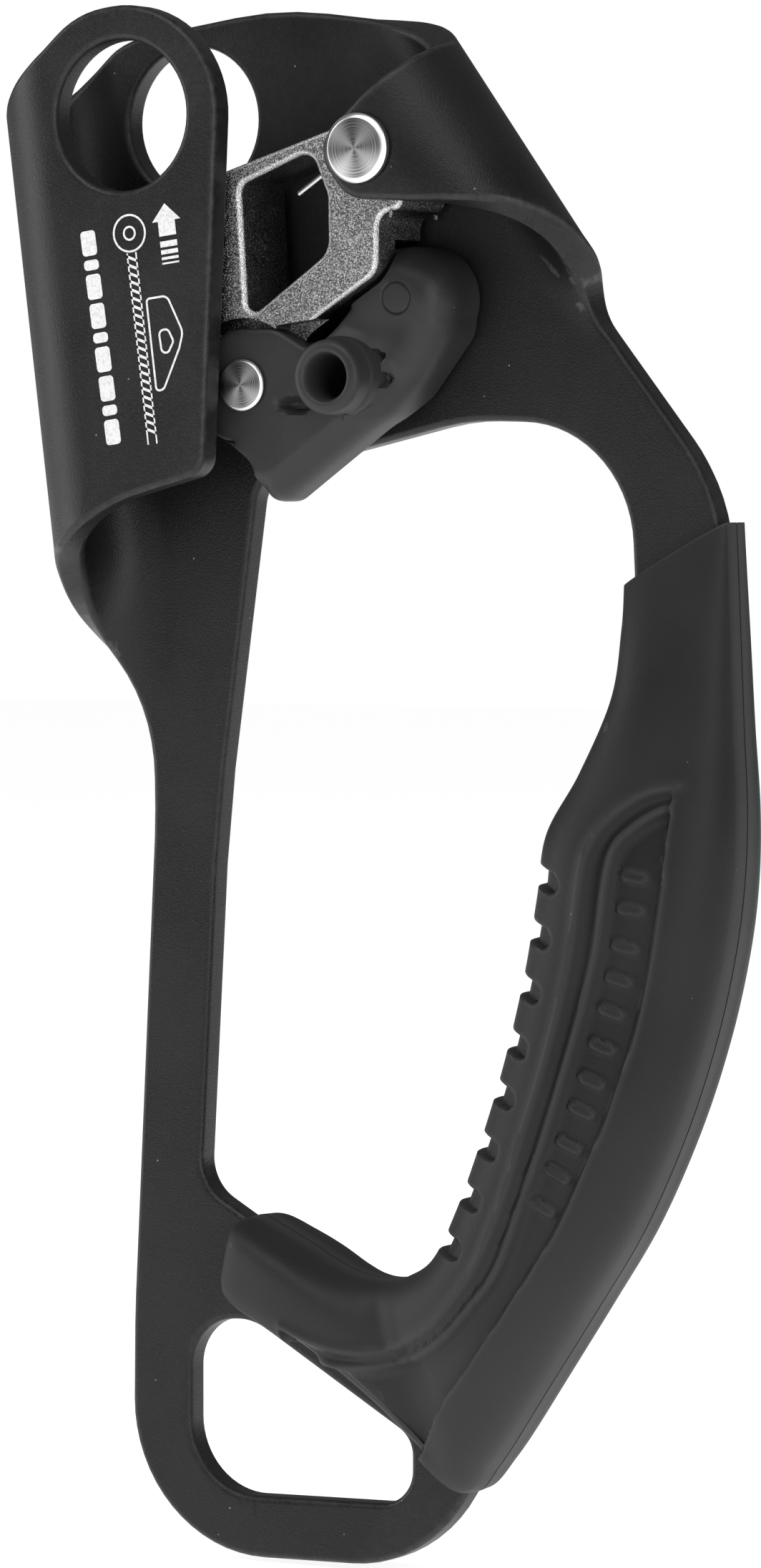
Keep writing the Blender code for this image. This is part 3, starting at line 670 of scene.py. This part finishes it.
def turned_steel(name, fan_shade_grey, fan_highlight_grey, chamfer):
    """Bright steel faced on a lathe: fine rings round the axis, with painted highlights that fan out from it
    and a painted highlight ring on its chamfer.
    """
    material, tree, shader = finish(name, (0.62, 0.62, 0.62), 0.30, 1.0)
    shader.inputs["Anisotropic"].default_value = 0.75
    fan = tree.nodes.new("ShaderNodeTangent")
    fan.direction_type = "RADIAL"
    fan.axis = "Y"
    tree.links.new(fan.outputs["Tangent"], shader.inputs["Tangent"])
    x, z = (figure(tree, "SUBTRACT", part_of(tree, "Generated", axis), 0.5) for axis in "XZ")
    squares = figure(tree, "ADD", figure(tree, "MULTIPLY", x, x), figure(tree, "MULTIPLY", z, z))
    reach = figure(tree, "SQRT", squares)
    rings = tree.nodes.new("ShaderNodeTexNoise")
    rings.noise_dimensions = "1D"
    rings.inputs["Scale"].default_value = 46.0
    rings.inputs["Detail"].default_value = 3.0
    tree.links.new(reach, rings.inputs["W"])
    turn = figure(tree, "ARCTAN2", z, x)
    # Painted highlight and shade: round the axis the colour sweeps between a dark and a light grey in
    # sectors, painting the fan of highlights a turned face throws.
    sweep = figure(tree, "COSINE", figure(tree, "MULTIPLY_ADD", turn, FANS, FAN_TURN))
    faced = tint(tree, ramp(tree, sweep, 1.0, -1.0, 0.0, 1.0), fan_shade_grey, fan_highlight_grey)
    # Painted highlight: a light ring over the chamfer, from its radius outwards.
    edge = ramp(tree, reach, chamfer, chamfer + 0.01, 0.0, 1.0)
    ringed = blend(tree, rings.outputs["Fac"], 0.35, 0.65, faced, 0.62, 0.55)
    tree.links.new(tint(tree, edge, ringed, 0.80), shader.inputs["Base Color"])
    roughen(tree, shader, rings.outputs["Fac"], 0.02, 0.5)
    return material


HEAD = -OUTER - 0.3
TAIL_END = OUTER + 1.4
axle = turned(CAM_AXIS, [
    (0, HEAD - 1.2), (3.72, HEAD - 1.2), (3.78, HEAD - 1.18), (4.34, HEAD - 0.78), (4.4, HEAD - 0.68),
    (4.4, HEAD), (AXLE_R, HEAD), (AXLE_R, TAIL_END), (4.3, TAIL_END), (4.6, TAIL_END + 0.25),
    (4.55, TAIL_END + 0.6), (4.1, TAIL_END + 1.0), (3.2, TAIL_END + 1.3), (1.6, TAIL_END + 1.4),
    (0, TAIL_END + 1.4)], 96)
axle_steel = turned_steel("faced_steel", 0.13, 0.62, 0.405)
piece("axle", axle, axle_steel, "frame_body", ["cam_axle"], 30.0)
washer = turned(CAM_AXIS, [(3.3, 11.35), (3.4, 11.3), (6.05, 11.3), (6.2, 11.42), (6.2, 11.98), (6.05, 12.1),
                           (3.4, 12.1), (3.3, 12.05)], 96)
piece("washer", washer, axle_steel, "frame_body", ["axle_back_washer"], 50.0)
bronze, tree, shader = finish("sintered_bronze", (0.42, 0.30, 0.16), 0.48, 0.9)
pores = cells(tree, 4200.0)
tree.links.new(blend(tree, pores, 0.1, 0.3, (0.10, 0.07, 0.04), (0.44, 0.31, 0.17)),
               shader.inputs["Base Color"])
roughen(tree, shader, pores, 0.05, 0.6)
bush = turned(CAM_AXIS, [(3.15, -5.8), (3.25, -5.9), (3.9, -5.9), (4.0, -5.8), (4.0, 5.8), (3.9, 5.9),
                         (3.25, 5.9), (3.15, 5.8)])
piece("bush", bush, bronze, "cam_body", ["cam_bush"], 50.0)

# ---------------------------------------------------------------- cam spring
# A torsion spring of 0.9 mm bright wire sits in a pocket behind the hub. One end hooks into
# the main plate; the other is a straight leg that shows in the window and pushes the cam shut.
def wire(points, radius, sides=12):
    """Round wire along 3-D points, with flat ends."""
    bm = bmesh.new()
    rings = []
    normal = Vector((0.0, 0.0, 1.0))
    for index, point in enumerate(points):
        ahead = points[min(index + 1, len(points) - 1)]
        behind = points[max(index - 1, 0)]
        tangent = (ahead - behind).normalized()
        normal = (normal - tangent * normal.dot(tangent)).normalized()
        across = tangent.cross(normal)
        angles = [2 * math.pi * k / sides for k in range(sides)]
        rings.append([bm.verts.new(point + (normal * math.cos(a) + across * math.sin(a)) * radius)
                      for a in angles])
    bridge(bm, rings)
    bm.faces.new(rings[0])
    bm.faces.new(rings[-1])
    return bm


def coil(centre, radius, start_deg, sweep_deg, y_start, y_end, steps=32):
    """Points along a coil about a Y axis."""
    count = round(abs(sweep_deg) / 360 * steps)
    points = []
    for k in range(count + 1):
        angle = math.radians(start_deg + sweep_deg * k / count)
        points.append(Vector((centre[0] + radius * math.cos(angle), y_start + (y_end - y_start) * k / count,
                              centre[1] + radius * math.sin(angle))))
    return points


SPRING_R, SPRING_WIRE_R, HOOK_DEG, LEG_DEG = 4.9, 0.45, 200.0, 120.0
turns = coil(CAM_AXIS, SPRING_R, HOOK_DEG, LEG_DEG - HOOK_DEG + 1080.0, 5.4, 2.2)
hook = [turns[0] + Vector((0.0, depth, 0.0)) for depth in (3.6, 1.2)]
leg_y = turns[-1].y - 0.1
leg = [Vector((p.x, leg_y, p.y)) for p in (LEG_START.lerp(LEG_END, k) for k in (0.12, 0.3, 0.5, 0.75, 1.0))]
spring_steel, tree, shader = finish("drawn_wire", (0.66, 0.66, 0.66), 0.22, 1.0)
drawn = noise(tree, 1500.0, 2.0)
tree.links.new(ramp(tree, drawn, 0.3, 0.7, 0.16, 0.32), shader.inputs["Roughness"])
roughen(tree, shader, drawn, 0.01, 0.4)
cam_wire = wire(hook + turns[:-1] + leg, SPRING_WIRE_R)
piece("cam_return_spring", cam_wire, spring_steel, "cam_body", ["cam_spring"], 60.0)

# ---------------------------------------------------------------- safety catch
# The catch is moulded in dark grey nylon and pivots on the cam's tail, for which its back is cut
# away. Its round lobe reaches behind the cam's corner, and a hollow boss takes the pull cord.
LOCK_PIN, PIN_MARK_R = (36.3, -23.5), 2.0
BOSS = (29.1, -33.4)
CATCH = [
    (8.2, -27.2, 7.0), (19.8, -27.2, 4.0), (25.6, -30.4, 2.5), *arc(LOBE, LOBE_R, 190, -20, 24),
    (42.4, -28.0, 4.0), (34.4, -38.4, 5.0), (19.6, -49.0, 3.0), (16.9, -49.2, 1.5), (16.6, -44.4, 3.5),
    (12.6, -41.4, 3.0), (8.2, -41.0, 6.0),
]
CATCH_UNDER = [
    (3.0, -20.0), (27.0, -20.0), (27.0, -25.9), (22.8, -28.6), (23.2, -34.3), (18.4, -41.2),
    (15.0, -43.6), (3.0, -43.6),
]
CATCH_FRONT, CATCH_BACK = -6.0, INNER - 1.0
BEHIND_CAM = -0.8       # the lobe's front where the cam stands over it
HOLLOWS = [             # place, half length, half width and depth of the hollows round the boss
    ((33.2, -30.9), 1.0, 0.8, 1.5), ((34.0, -33.7), 1.1, 0.9, 1.8), ((32.4, -37.1), 1.7, 0.7, 0.8),
    ((22.9, -36.9), 2.7, 1.0, 1.7),
]


def smooth(value):
    """Ease from 0 to 1 as the value goes from 0 to 1."""
    value = np.clip(value, 0.0, 1.0)
    return value * value * (3.0 - 2.0 * value)


def distance(places, line, closed=True):
    """Distance from each place to the nearest point of a line of points."""
    first = np.array([tuple(p)[:2] for p in line])
    second = np.roll(first, -1, axis=0)
    if not closed:
        first, second = first[:-1], second[:-1]
    way = second - first
    reach = np.maximum((way ** 2).sum(1), 1e-12)
    best = np.full(len(places), 1e9)
    for start, step, square in zip(first, way, reach):
        along = np.clip(((places - start) @ step) / square, 0.0, 1.0)
        gap = places - start - along[:, None] * step
        best = np.minimum(best, (gap ** 2).sum(1))
    return np.sqrt(best)


def within(places, line):
    """Which places lie inside a closed line of points."""
    first = np.array([tuple(p)[:2] for p in line])
    second = np.roll(first, -1, axis=0)
    inside = np.zeros(len(places), bool)
    for (x0, z0), (x1, z1) in zip(first, second):
        if z0 == z1:
            continue
        crosses = (z0 > places[:, 1]) != (z1 > places[:, 1])
        inside ^= crosses & (places[:, 0] < (x1 - x0) * (places[:, 1] - z0) / (z1 - z0) + x0)
    return inside


def even(outline, step):
    """The outline again, with points about one step apart."""
    points = []
    for start, end in zip(outline, outline[1:] + outline[:1]):
        count = max(1, round((end - start).length / step))
        points += [start.lerp(end, k / count) for k in range(count)]
    return points


def sculpted(outline, step, front, back, rims, extra):
    """Closed body over an outline, between a front and a back that give y at each place."""
    edge = even(outline, step)
    low = np.array([min(p.x for p in edge), min(p.y for p in edge)])
    high = np.array([max(p.x for p in edge), max(p.y for p in edge)])
    columns, rows = np.meshgrid(np.arange(low[0], high[0], step), np.arange(low[1], high[1], step))
    columns[::2] += step / 2
    field = np.stack([columns.ravel(), rows.ravel()], axis=1)
    field = field[within(field, edge) & (distance(field, edge) > rims[-1] + step * 0.6)]
    extra = np.array([tuple(p) for p in extra])
    apart = np.hypot(*(field[:, None, :] - extra[None, :, :]).transpose(2, 0, 1))
    field = field[np.min(apart, axis=1) > step * 0.4]
    loops = [field, extra[within(extra, edge) & (distance(extra, edge) > step * 0.3)]]
    for rim in rims:
        ring = np.array([tuple(p) for p in grown(edge, -rim)])
        loops.append(ring[within(ring, edge) & (distance(ring, edge) > rim * 0.9)])
    inner = np.concatenate(loops)
    coords = edge + [Vector(p) for p in inner]
    count = len(edge)
    sides = [(k, (k + 1) % count) for k in range(count)]
    made = delaunay_2d_cdt(coords, sides, [], 1, 1e-5)
    places = np.array([tuple(v) for v in made[0]])
    heights = front(places, distance(places, edge))
    bm = bmesh.new()
    fronts = [bm.verts.new((p[0], y, p[1])) for p, y in zip(places, heights)]
    backs = [bm.verts.new((p[0], y, p[1])) for p, y in zip(places, back(places))]
    used = []
    for face in made[2]:
        bm.faces.new([fronts[k] for k in face])
        bm.faces.new([backs[k] for k in reversed(face)])
        used += zip(face, face[1:] + face[:1])
    twins = set(used)
    for a, b in used:
        if (b, a) not in twins:
            bm.faces.new((fronts[b], fronts[a], backs[a], backs[b]))
    for vert in [v for v in bm.verts if not v.link_faces]:
        bm.verts.remove(vert)
    return bm


cam_outline = grown(rounded(CAM), 0.35)
LOWER_EDGE = np.array((0.582, -0.813))      # the way that the catch's lower edge faces
LOWER_ROLL, LOWER_LIFT = 46.8, 46.5         # how far out along it the front rolls and the back lifts
SADDLE_TOP, SADDLE_WAY = (27.0, -36.0), np.array((0.75, 0.66))
SADDLE_DROP, DIP_DROP = 2.0, 1.5
DIP, DIP_R = (36.0, -31.0), 4.2


def catch_front(places, gaps):
    """The catch's front: flat over the cam's tail, falling away in a saddle to the round lobe."""
    fall = (places - SADDLE_TOP) @ SADDLE_WAY
    y = CATCH_FRONT + SADDLE_DROP * smooth((fall - 1.0) / 9.5)
    y += DIP_DROP * np.exp(-(np.hypot(*(places - DIP).T) / DIP_R) ** 2)
    below = smooth((places @ LOWER_EDGE - LOWER_ROLL) / 2.5)
    rolled = np.maximum(smooth((fall + 2.0) / 8.0) * smooth((places[:, 0] - 31.0) / 5.0), below)
    sunk = np.clip(1.0 - gaps / (1.0 + 3.6 * rolled), 0.0, 1.0)
    y += (0.6 + 5.0 * rolled) * (1.0 - np.sqrt(np.maximum(1.0 - sunk ** 2, 0.0)))
    for place, long, wide, depth in HOLLOWS:
        away = places - place
        y += depth * np.clip(1.25 - (away[:, 0] / long) ** 2 - (away[:, 1] / wide) ** 2, 0.0, 1.0) ** 0.8
    flare = np.hypot(*(places - BOSS).T)
    y -= 0.7 * smooth((6.6 - flare) / 2.0) * (y > CATCH_FRONT + 0.3)
    from_pin = np.hypot(*(places - LOCK_PIN).T)
    y += 0.24 * np.exp(-((from_pin - PIN_MARK_R) / 0.13) ** 2)
    near_cam = distance(places, cam_outline) * np.where(within(places, cam_outline), -1.0, 1.0)
    under = smooth(1.0 - near_cam / 0.30) * (fall > 2.0)
    return y + under * np.maximum(BEHIND_CAM - y, 0.0)


def catch_back(places):
    """The catch's back: flat, but lifted clear of the plate along its lower edge."""
    lift = smooth((places @ LOWER_EDGE - LOWER_LIFT) / 1.5)
    return CATCH_BACK - 4.2 * lift * smooth((-35.0 - places[:, 1]) / 5.0)


guides = even(cam_outline, 0.4) + even(grown(cam_outline, 0.36), 0.4)
for radius in (1.8, 1.92, PIN_MARK_R, 2.08, 2.2):
    guides += circle(LOCK_PIN, radius, 48)
catch = sculpted(rounded(CATCH), 0.42, catch_front, catch_back, (0.1, 0.25, 0.5, 0.85), guides)
boss_outside = [(0, -9.4), (3.7, -9.4), (4.15, -9.3), (4.5, -9.0), (4.68, -8.6), (4.75, -8.1), (4.8, -6.4),
                (4.95, -6.0), (5.2, -5.6), (5.2, 0.5), (0, 0.5)]
boss_bore = [(0, -12), (3.5, -12), (3.5, -9.45), (3.15, -9.2), (2.95, -8.7), (2.85, -8.0), (2.7, 2.0),
             (0, 2.0)]
UNDER, TAIL_ROOM = TAIL_FRONT - PLAY, 7.3
catch = worked(catch, [
    (slab(CATCH_UNDER, UNDER, 12), "DIFFERENCE"),
    (turned(CATCH_AXIS, [(0, UNDER), (TAIL_ROOM, UNDER), (TAIL_ROOM, 12), (0, 12)]), "DIFFERENCE"),
    (turned(BOSS, boss_outside), "UNION"),
    (turned(BOSS, boss_bore), "DIFFERENCE"),
    (turned(CATCH_AXIS, [(0, -12), (RIVET_HOLE, -12), (RIVET_HOLE, 12), (0, 12)], 32), "DIFFERENCE"),
    (turned(CATCH_AXIS, [(0, -4.9), (3.9, -4.9), (3.9, 0), (0, 0)], 32), "DIFFERENCE"),
    (turned(LOCK_PIN, [(0, 0.6), (1.8, 0.6), (1.8, 12), (0, 12)], 32), "DIFFERENCE")])
nylon, tree, shader = finish("grey_nylon", (0.030, 0.030, 0.0305), 0.44, specular=0.32)
flow = noise(tree, 55.0, 3.0)
tone = blend(tree, flow, 0.35, 0.65, (0.021, 0.021, 0.0214), (0.032, 0.032, 0.0325))
tree.links.new(flecked(tree, tone, 330.0, 0.02, 0.035, 0.6, 0.22), shader.inputs["Base Color"])
tree.links.new(ramp(tree, flow, 0.3, 0.7, 0.40, 0.52), shader.inputs["Roughness"])
spark = noise(tree, 4800.0, 2.0)
roughen(tree, shader, spark, 0.05, 0.6)
piece("safety_catch", catch, nylon, "catch_body", ["trigger"], 42.0, True)

# ---------------------------------------------------------------- catch rivet, pin and spring
# A turned steel rivet holds the catch to the cam's tail over a washer, a dowel in the lobe
# bears on the frame's fold, and a small torsion spring round the rivet keeps the catch up.
RIVET_HEAD = CATCH_FRONT - 0.3
rivet = turned(CATCH_AXIS, [
    (0, RIVET_HEAD - 0.5), (2.92, RIVET_HEAD - 0.5), (2.97, RIVET_HEAD - 0.49), (3.25, RIVET_HEAD - 0.24),
    (3.3, RIVET_HEAD - 0.15), (3.3, RIVET_HEAD), (RIVET_R, RIVET_HEAD), (RIVET_R, 5.4), (2.6, 5.4),
    (2.8, 5.5), (2.7, 5.8), (2.2, 6.05), (1.2, 6.1), (0, 6.1)], 80)
rivet_steel = turned_steel("faced_rivet_steel", 0.07, 0.52, 0.44)
piece("catch_rivet", rivet, rivet_steel, "cam_body", ["trigger_rivet"], 30.0)
thin_washer = turned(CATCH_AXIS, [(2.1, 4.65), (2.2, 4.6), (3.2, 4.6), (3.3, 4.68), (3.3, 5.02), (3.2, 5.1),
                                  (2.2, 5.1), (2.1, 5.05)], 48)
piece("catch_washer", thin_washer, rivet_steel, "cam_body", ["trigger_rivet_washer"], 50.0)
dowel = turned(LOCK_PIN, [(0, 0.9), (1.3, 0.9), (1.45, 1.0), (1.5, 1.2), (1.5, 6.3), (1.4, 6.5), (1.2, 6.6),
                          (0, 6.6)], 48)
piece("catch_dowel", dowel, rivet_steel, "catch_body", ["trigger_lock_pin"], 40.0)
COIL_R, COIL_WIRE_R = 3.1, 0.35
turns = coil(CATCH_AXIS, COIL_R, 200.0, 540.0, -3.1, -4.5, 28)
tail_end = [turns[0] + Vector((0.0, depth, 0.0)) for depth in (2.5, 0.3)]
catch_end = [turns[-1] - Vector((0.0, depth, 0.0)) for depth in (0.2, 0.95)]
catch_wire = wire(tail_end + turns[1:-1] + catch_end, COIL_WIRE_R)
piece("catch_spring", catch_wire, spring_steel, "catch_body", ["trigger_spring"], 60.0)

# ---------------------------------------------------------------- rubber grip
# Two moulded halves of black rubber are bonded round the outer bar. The palm side is rounded,
# the finger side is notched, and a flat panel with raised bars lies between two rolled edges.
SEAM_GAP = 0.15
RIBS = [                # down the handle: finger side, palm side, and height over the plate
    (63.3, -59.6, 77.7, -51.6, 1.6), (63.2, -65.2, 78.3, -65.2, 3.6), (62.0, -73.6, 78.8, -77.0, 5.0),
    (57.8, -83.0, 79.3, -88.0, 7.0), (53.4, -90.6, 78.9, -97.2, 8.6), (52.2, -98.4, 77.6, -106.2, 9.0),
    (50.4, -108.4, 75.0, -116.8, 9.0), (47.6, -119.4, 70.9, -128.4, 9.0), (44.2, -129.8, 65.1, -140.6, 9.0),
    (40.8, -138.6, 58.3, -151.2, 9.0), (37.4, -145.0, 51.3, -161.6, 8.8), (33.0, -147.9, 44.5, -171.6, 7.4),
    (28.8, -148.9, 40.4, -175.4, 5.6), (24.6, -148.5, 34.4, -170.0, 6.6), (20.8, -147.1, 27.4, -164.4, 7.2),
    (16.8, -145.0, 20.0, -159.4, 7.6), (13.0, -143.2, 13.8, -156.0, 7.4), (9.6, -141.7, 7.8, -152.8, 6.2),
    (7.9, -142.2, 6.4, -149.4, 3.0),
]
ROLL_EDGE = [
    (74.0, -84.2), (70.3, -84.9), (67.0, -86.6), (64.0, -89.3), (62.2, -92.3), (61.3, -96.0),
    (59.9, -106.0), (57.0, -117.3), (53.2, -128.6), (50.7, -136.2), (46.9, -144.7), (43.4, -149.6),
    (39.8, -153.3),
    (34.4, -156.1), (30.6, -157.3), (26.3, -157.3), (21.9, -156.3), (17.6, -154.7),
]
BEAD = [
    (74.0, -86.4), (70.7, -87.6), (67.8, -89.5), (65.7, -91.8), (64.7, -95.9), (63.2, -105.9), (59.9, -117.2),
    (56.1, -128.5), (53.2, -136.1), (49.4, -145.5), (45.5, -150.5), (41.6, -154.5), (38.0, -156.9),
    (34.4, -158.3), (28.7, -159.3), (22.0, -160.0),
]
STEP_LINE = [
    (73.6, -84.6), (73.0, -91.0), (72.4, -98.4), (70.1, -111.4), (66.0, -123.7), (63.1, -130.2),
    (58.2, -140.0), (53.3, -147.4), (48.7, -153.9), (44.0, -159.9), (40.5, -164.2), (37.6, -168.8),
]
PANEL_MIDDLE = [(68.6, -95.5), (67.5, -104.0), (64.2, -117.0), (59.8, -129.0), (55.6, -138.0)]
PAST_FOOT = [(14.0, -166.0), (30.0, -180.0)]
BAR_STEP, BAR_HALF = 4.4, 1.35
NOTCHES = [-95.6, -102.6, -109.6, -116.4, -122.9, -129.5, -136.1, -142.4]   # their heights
NOTCH_R, NOTCH_LONG, NOTCH_DEEP, NOTCH_LEAN = 1.5, 4.1, 1.1, math.radians(-14.0)


def through(points, step):
    """Smooth curve through points of any dimension, with samples about one step apart."""
    data = np.array(points, float)
    padded = np.vstack([2 * data[0] - data[1], data, 2 * data[-1] - data[-2]])
    out = []
    for k in range(1, len(padded) - 2):
        a, b, c, d = padded[k - 1:k + 3]
        count = max(2, round(float(np.linalg.norm((c - b)[-3:-1] if len(b) > 2 else c - b)) / step))
        for t in np.arange(count) / count:
            out.append(0.5 * (2 * b + (c - a) * t + (2 * a - 5 * b + 4 * c - d) * t ** 2
                              + (3 * b - a - 3 * c + d) * t ** 3))
    out.append(data[-1])
    return np.array(out)


def grip_relief(places):
    """How far the moulded detail stands in from (-) or out of (+) the plain domed grip."""
    roll, bead, step = (through(line, 1.0) for line in (ROLL_EDGE, BEAD, STEP_LINE))
    rolled = distance(places, roll, False)
    beaded = distance(places, bead, False)
    stepped = smooth(distance(places, step, False) / 0.55)
    in_groove = within(places, [*roll, *PAST_FOOT, *step[::-1]])
    in_panel = within(places, [*bead, *PAST_FOOT, *step[::-1]])
    detail = 0.32 * np.exp(-(rolled / 0.65) ** 2)
    detail -= in_groove * stepped * 1.15 * smooth(rolled / 1.6)
    detail += in_groove * stepped * 0.60 * np.exp(-(beaded / 0.7) ** 2)
    detail -= in_panel * stepped * 0.65 * smooth(beaded / 1.8)
    middle = through(PANEL_MIDDLE, 0.5)
    travel = np.cumsum(np.hypot(*np.diff(middle, axis=0, prepend=middle[:1]).T))
    for mark in np.arange(0.0, travel[-1], BAR_STEP):
        k = int(np.argmin(abs(travel - mark)))
        way = middle[min(k + 1, len(middle) - 1)] - middle[max(k - 1, 0)]
        across = np.array((-way[1], way[0])) / np.hypot(*way) * BAR_HALF
        bar = distance(places, [middle[k] - across, middle[k] + across], False)
        detail += 0.42 * smooth((1.0 - bar) / 0.35)
    return detail


def notched(places, hand):
    """How deep the finger notches cut, from their places on the hand side's line."""
    cut = np.zeros(len(places))
    way = np.array((math.cos(NOTCH_LEAN), math.sin(NOTCH_LEAN)))
    for height in NOTCHES:
        start = hand[int(np.argmin(abs(hand[:, 1] - height)))]
        gap = distance(places, [start - way * 3.0, start + way * NOTCH_LONG], False)
        cut = np.maximum(cut, smooth((NOTCH_R - gap) / 0.5))
    return cut * NOTCH_DEEP


rows = through(RIBS, 0.32)
COLUMNS = 84
part = (1 - np.cos(np.pi * np.arange(COLUMNS + 1) / COLUMNS)) / 2
rib = np.linspace(0, len(RIBS) - 1, len(rows))
square = 2.6 + 2.0 * smooth((rib - 11.0) / 3.0)     # the section is squarer past the foot
swell = np.maximum(1 - abs(2 * part[None, :] - 1) ** square[:, None], 0.0) ** 0.45
plan = rows[:, None, 0:2] * (1 - part)[None, :, None] + rows[:, None, 2:4] * part[None, :, None]
rise = PLATE / 2 + 0.3 + rows[:, None, 4] * swell
rise[:, 0] = rise[:, -1] = SEAM_GAP
domed = np.concatenate([plan, rise[:, :, None]], axis=2)
slope_u = np.gradient(domed, axis=1)
slope_v = np.gradient(domed, axis=0)
normals = np.cross(slope_v, slope_u)
normals /= np.maximum(np.linalg.norm(normals, axis=2, keepdims=True), 1e-9)
normals *= np.where(normals[:, COLUMNS // 2, 2].mean() < 0, -1.0, 1.0)
flat_places = plan.reshape(-1, 2)
detail = grip_relief(flat_places).reshape(rise.shape) * smooth((rise - 3.0) / 2.0)
detail -= notched(flat_places, rows[:, 0:2]).reshape(rise.shape) * smooth((0.5 - part) / 0.1)[None, :]
ends = np.minimum(np.arange(len(rows)), np.arange(len(rows))[::-1])
detail *= smooth(ends / 6.0)[:, None]
moulded = domed + normals * detail[:, :, None]
moulded[:, 0, 2] = moulded[:, -1, 2] = SEAM_GAP
moulded[:, -1, 0:2] += normals[:, -2, 0:2] * 0.14
moulded[:, 0, 0:2] += normals[:, 1, 0:2] * 0.10

rubber, tree, shader = finish("black_rubber", (0.012, 0.012, 0.0122), 0.44, specular=0.26)
bloom = noise(tree, 45.0, 4.0)
# Pointiness lightens the sharper edges of the rubber: partly wear, partly a painted highlight on them.
worn_and_lit_edges = ramp(tree, tree.nodes.new("ShaderNodeNewGeometry").outputs["Pointiness"], 0.505, 0.56, 0.0, 0.7)
skin = blend(tree, bloom, 0.35, 0.65, (0.008, 0.008, 0.0082), (0.015, 0.015, 0.0153))
# Painted sheen: the rubber is lightened towards the bottom, from z -118 mm down to -160 mm, standing in for
# the light on the lower grip and its foot.
skin = blend(tree, part_of(tree, "Object", "Z"), -0.118, -0.160, skin, (0.030, 0.030, 0.0305), 0.8)
skin = tint(tree, worn_and_lit_edges, skin, (0.045, 0.045, 0.046))
skin = flecked(tree, skin, 170.0, 0.012, 0.022, 0.6, 0.25)
tree.links.new(skin, shader.inputs["Base Color"])
tree.links.new(ramp(tree, bloom, 0.3, 0.7, 0.45, 0.58), shader.inputs["Roughness"])
matt = noise(tree, 4600.0, 2.0)
roughen(tree, shader, matt, 0.07, 0.7)

for name, side, node in (("grip_half_front", -1, "grip_front"), ("grip_half_back", 1, "grip_back")):
    half = bmesh.new()
    lines = [[half.verts.new((x, NEUTRAL + side * depth, z)) for x, z, depth in line]
             for line in moulded.tolist()]
    bridge(half, lines)
    half.faces.new(lines[0])
    half.faces.new(lines[-1])
    piece(name, half, rubber, "frame_body", [node], 50.0)
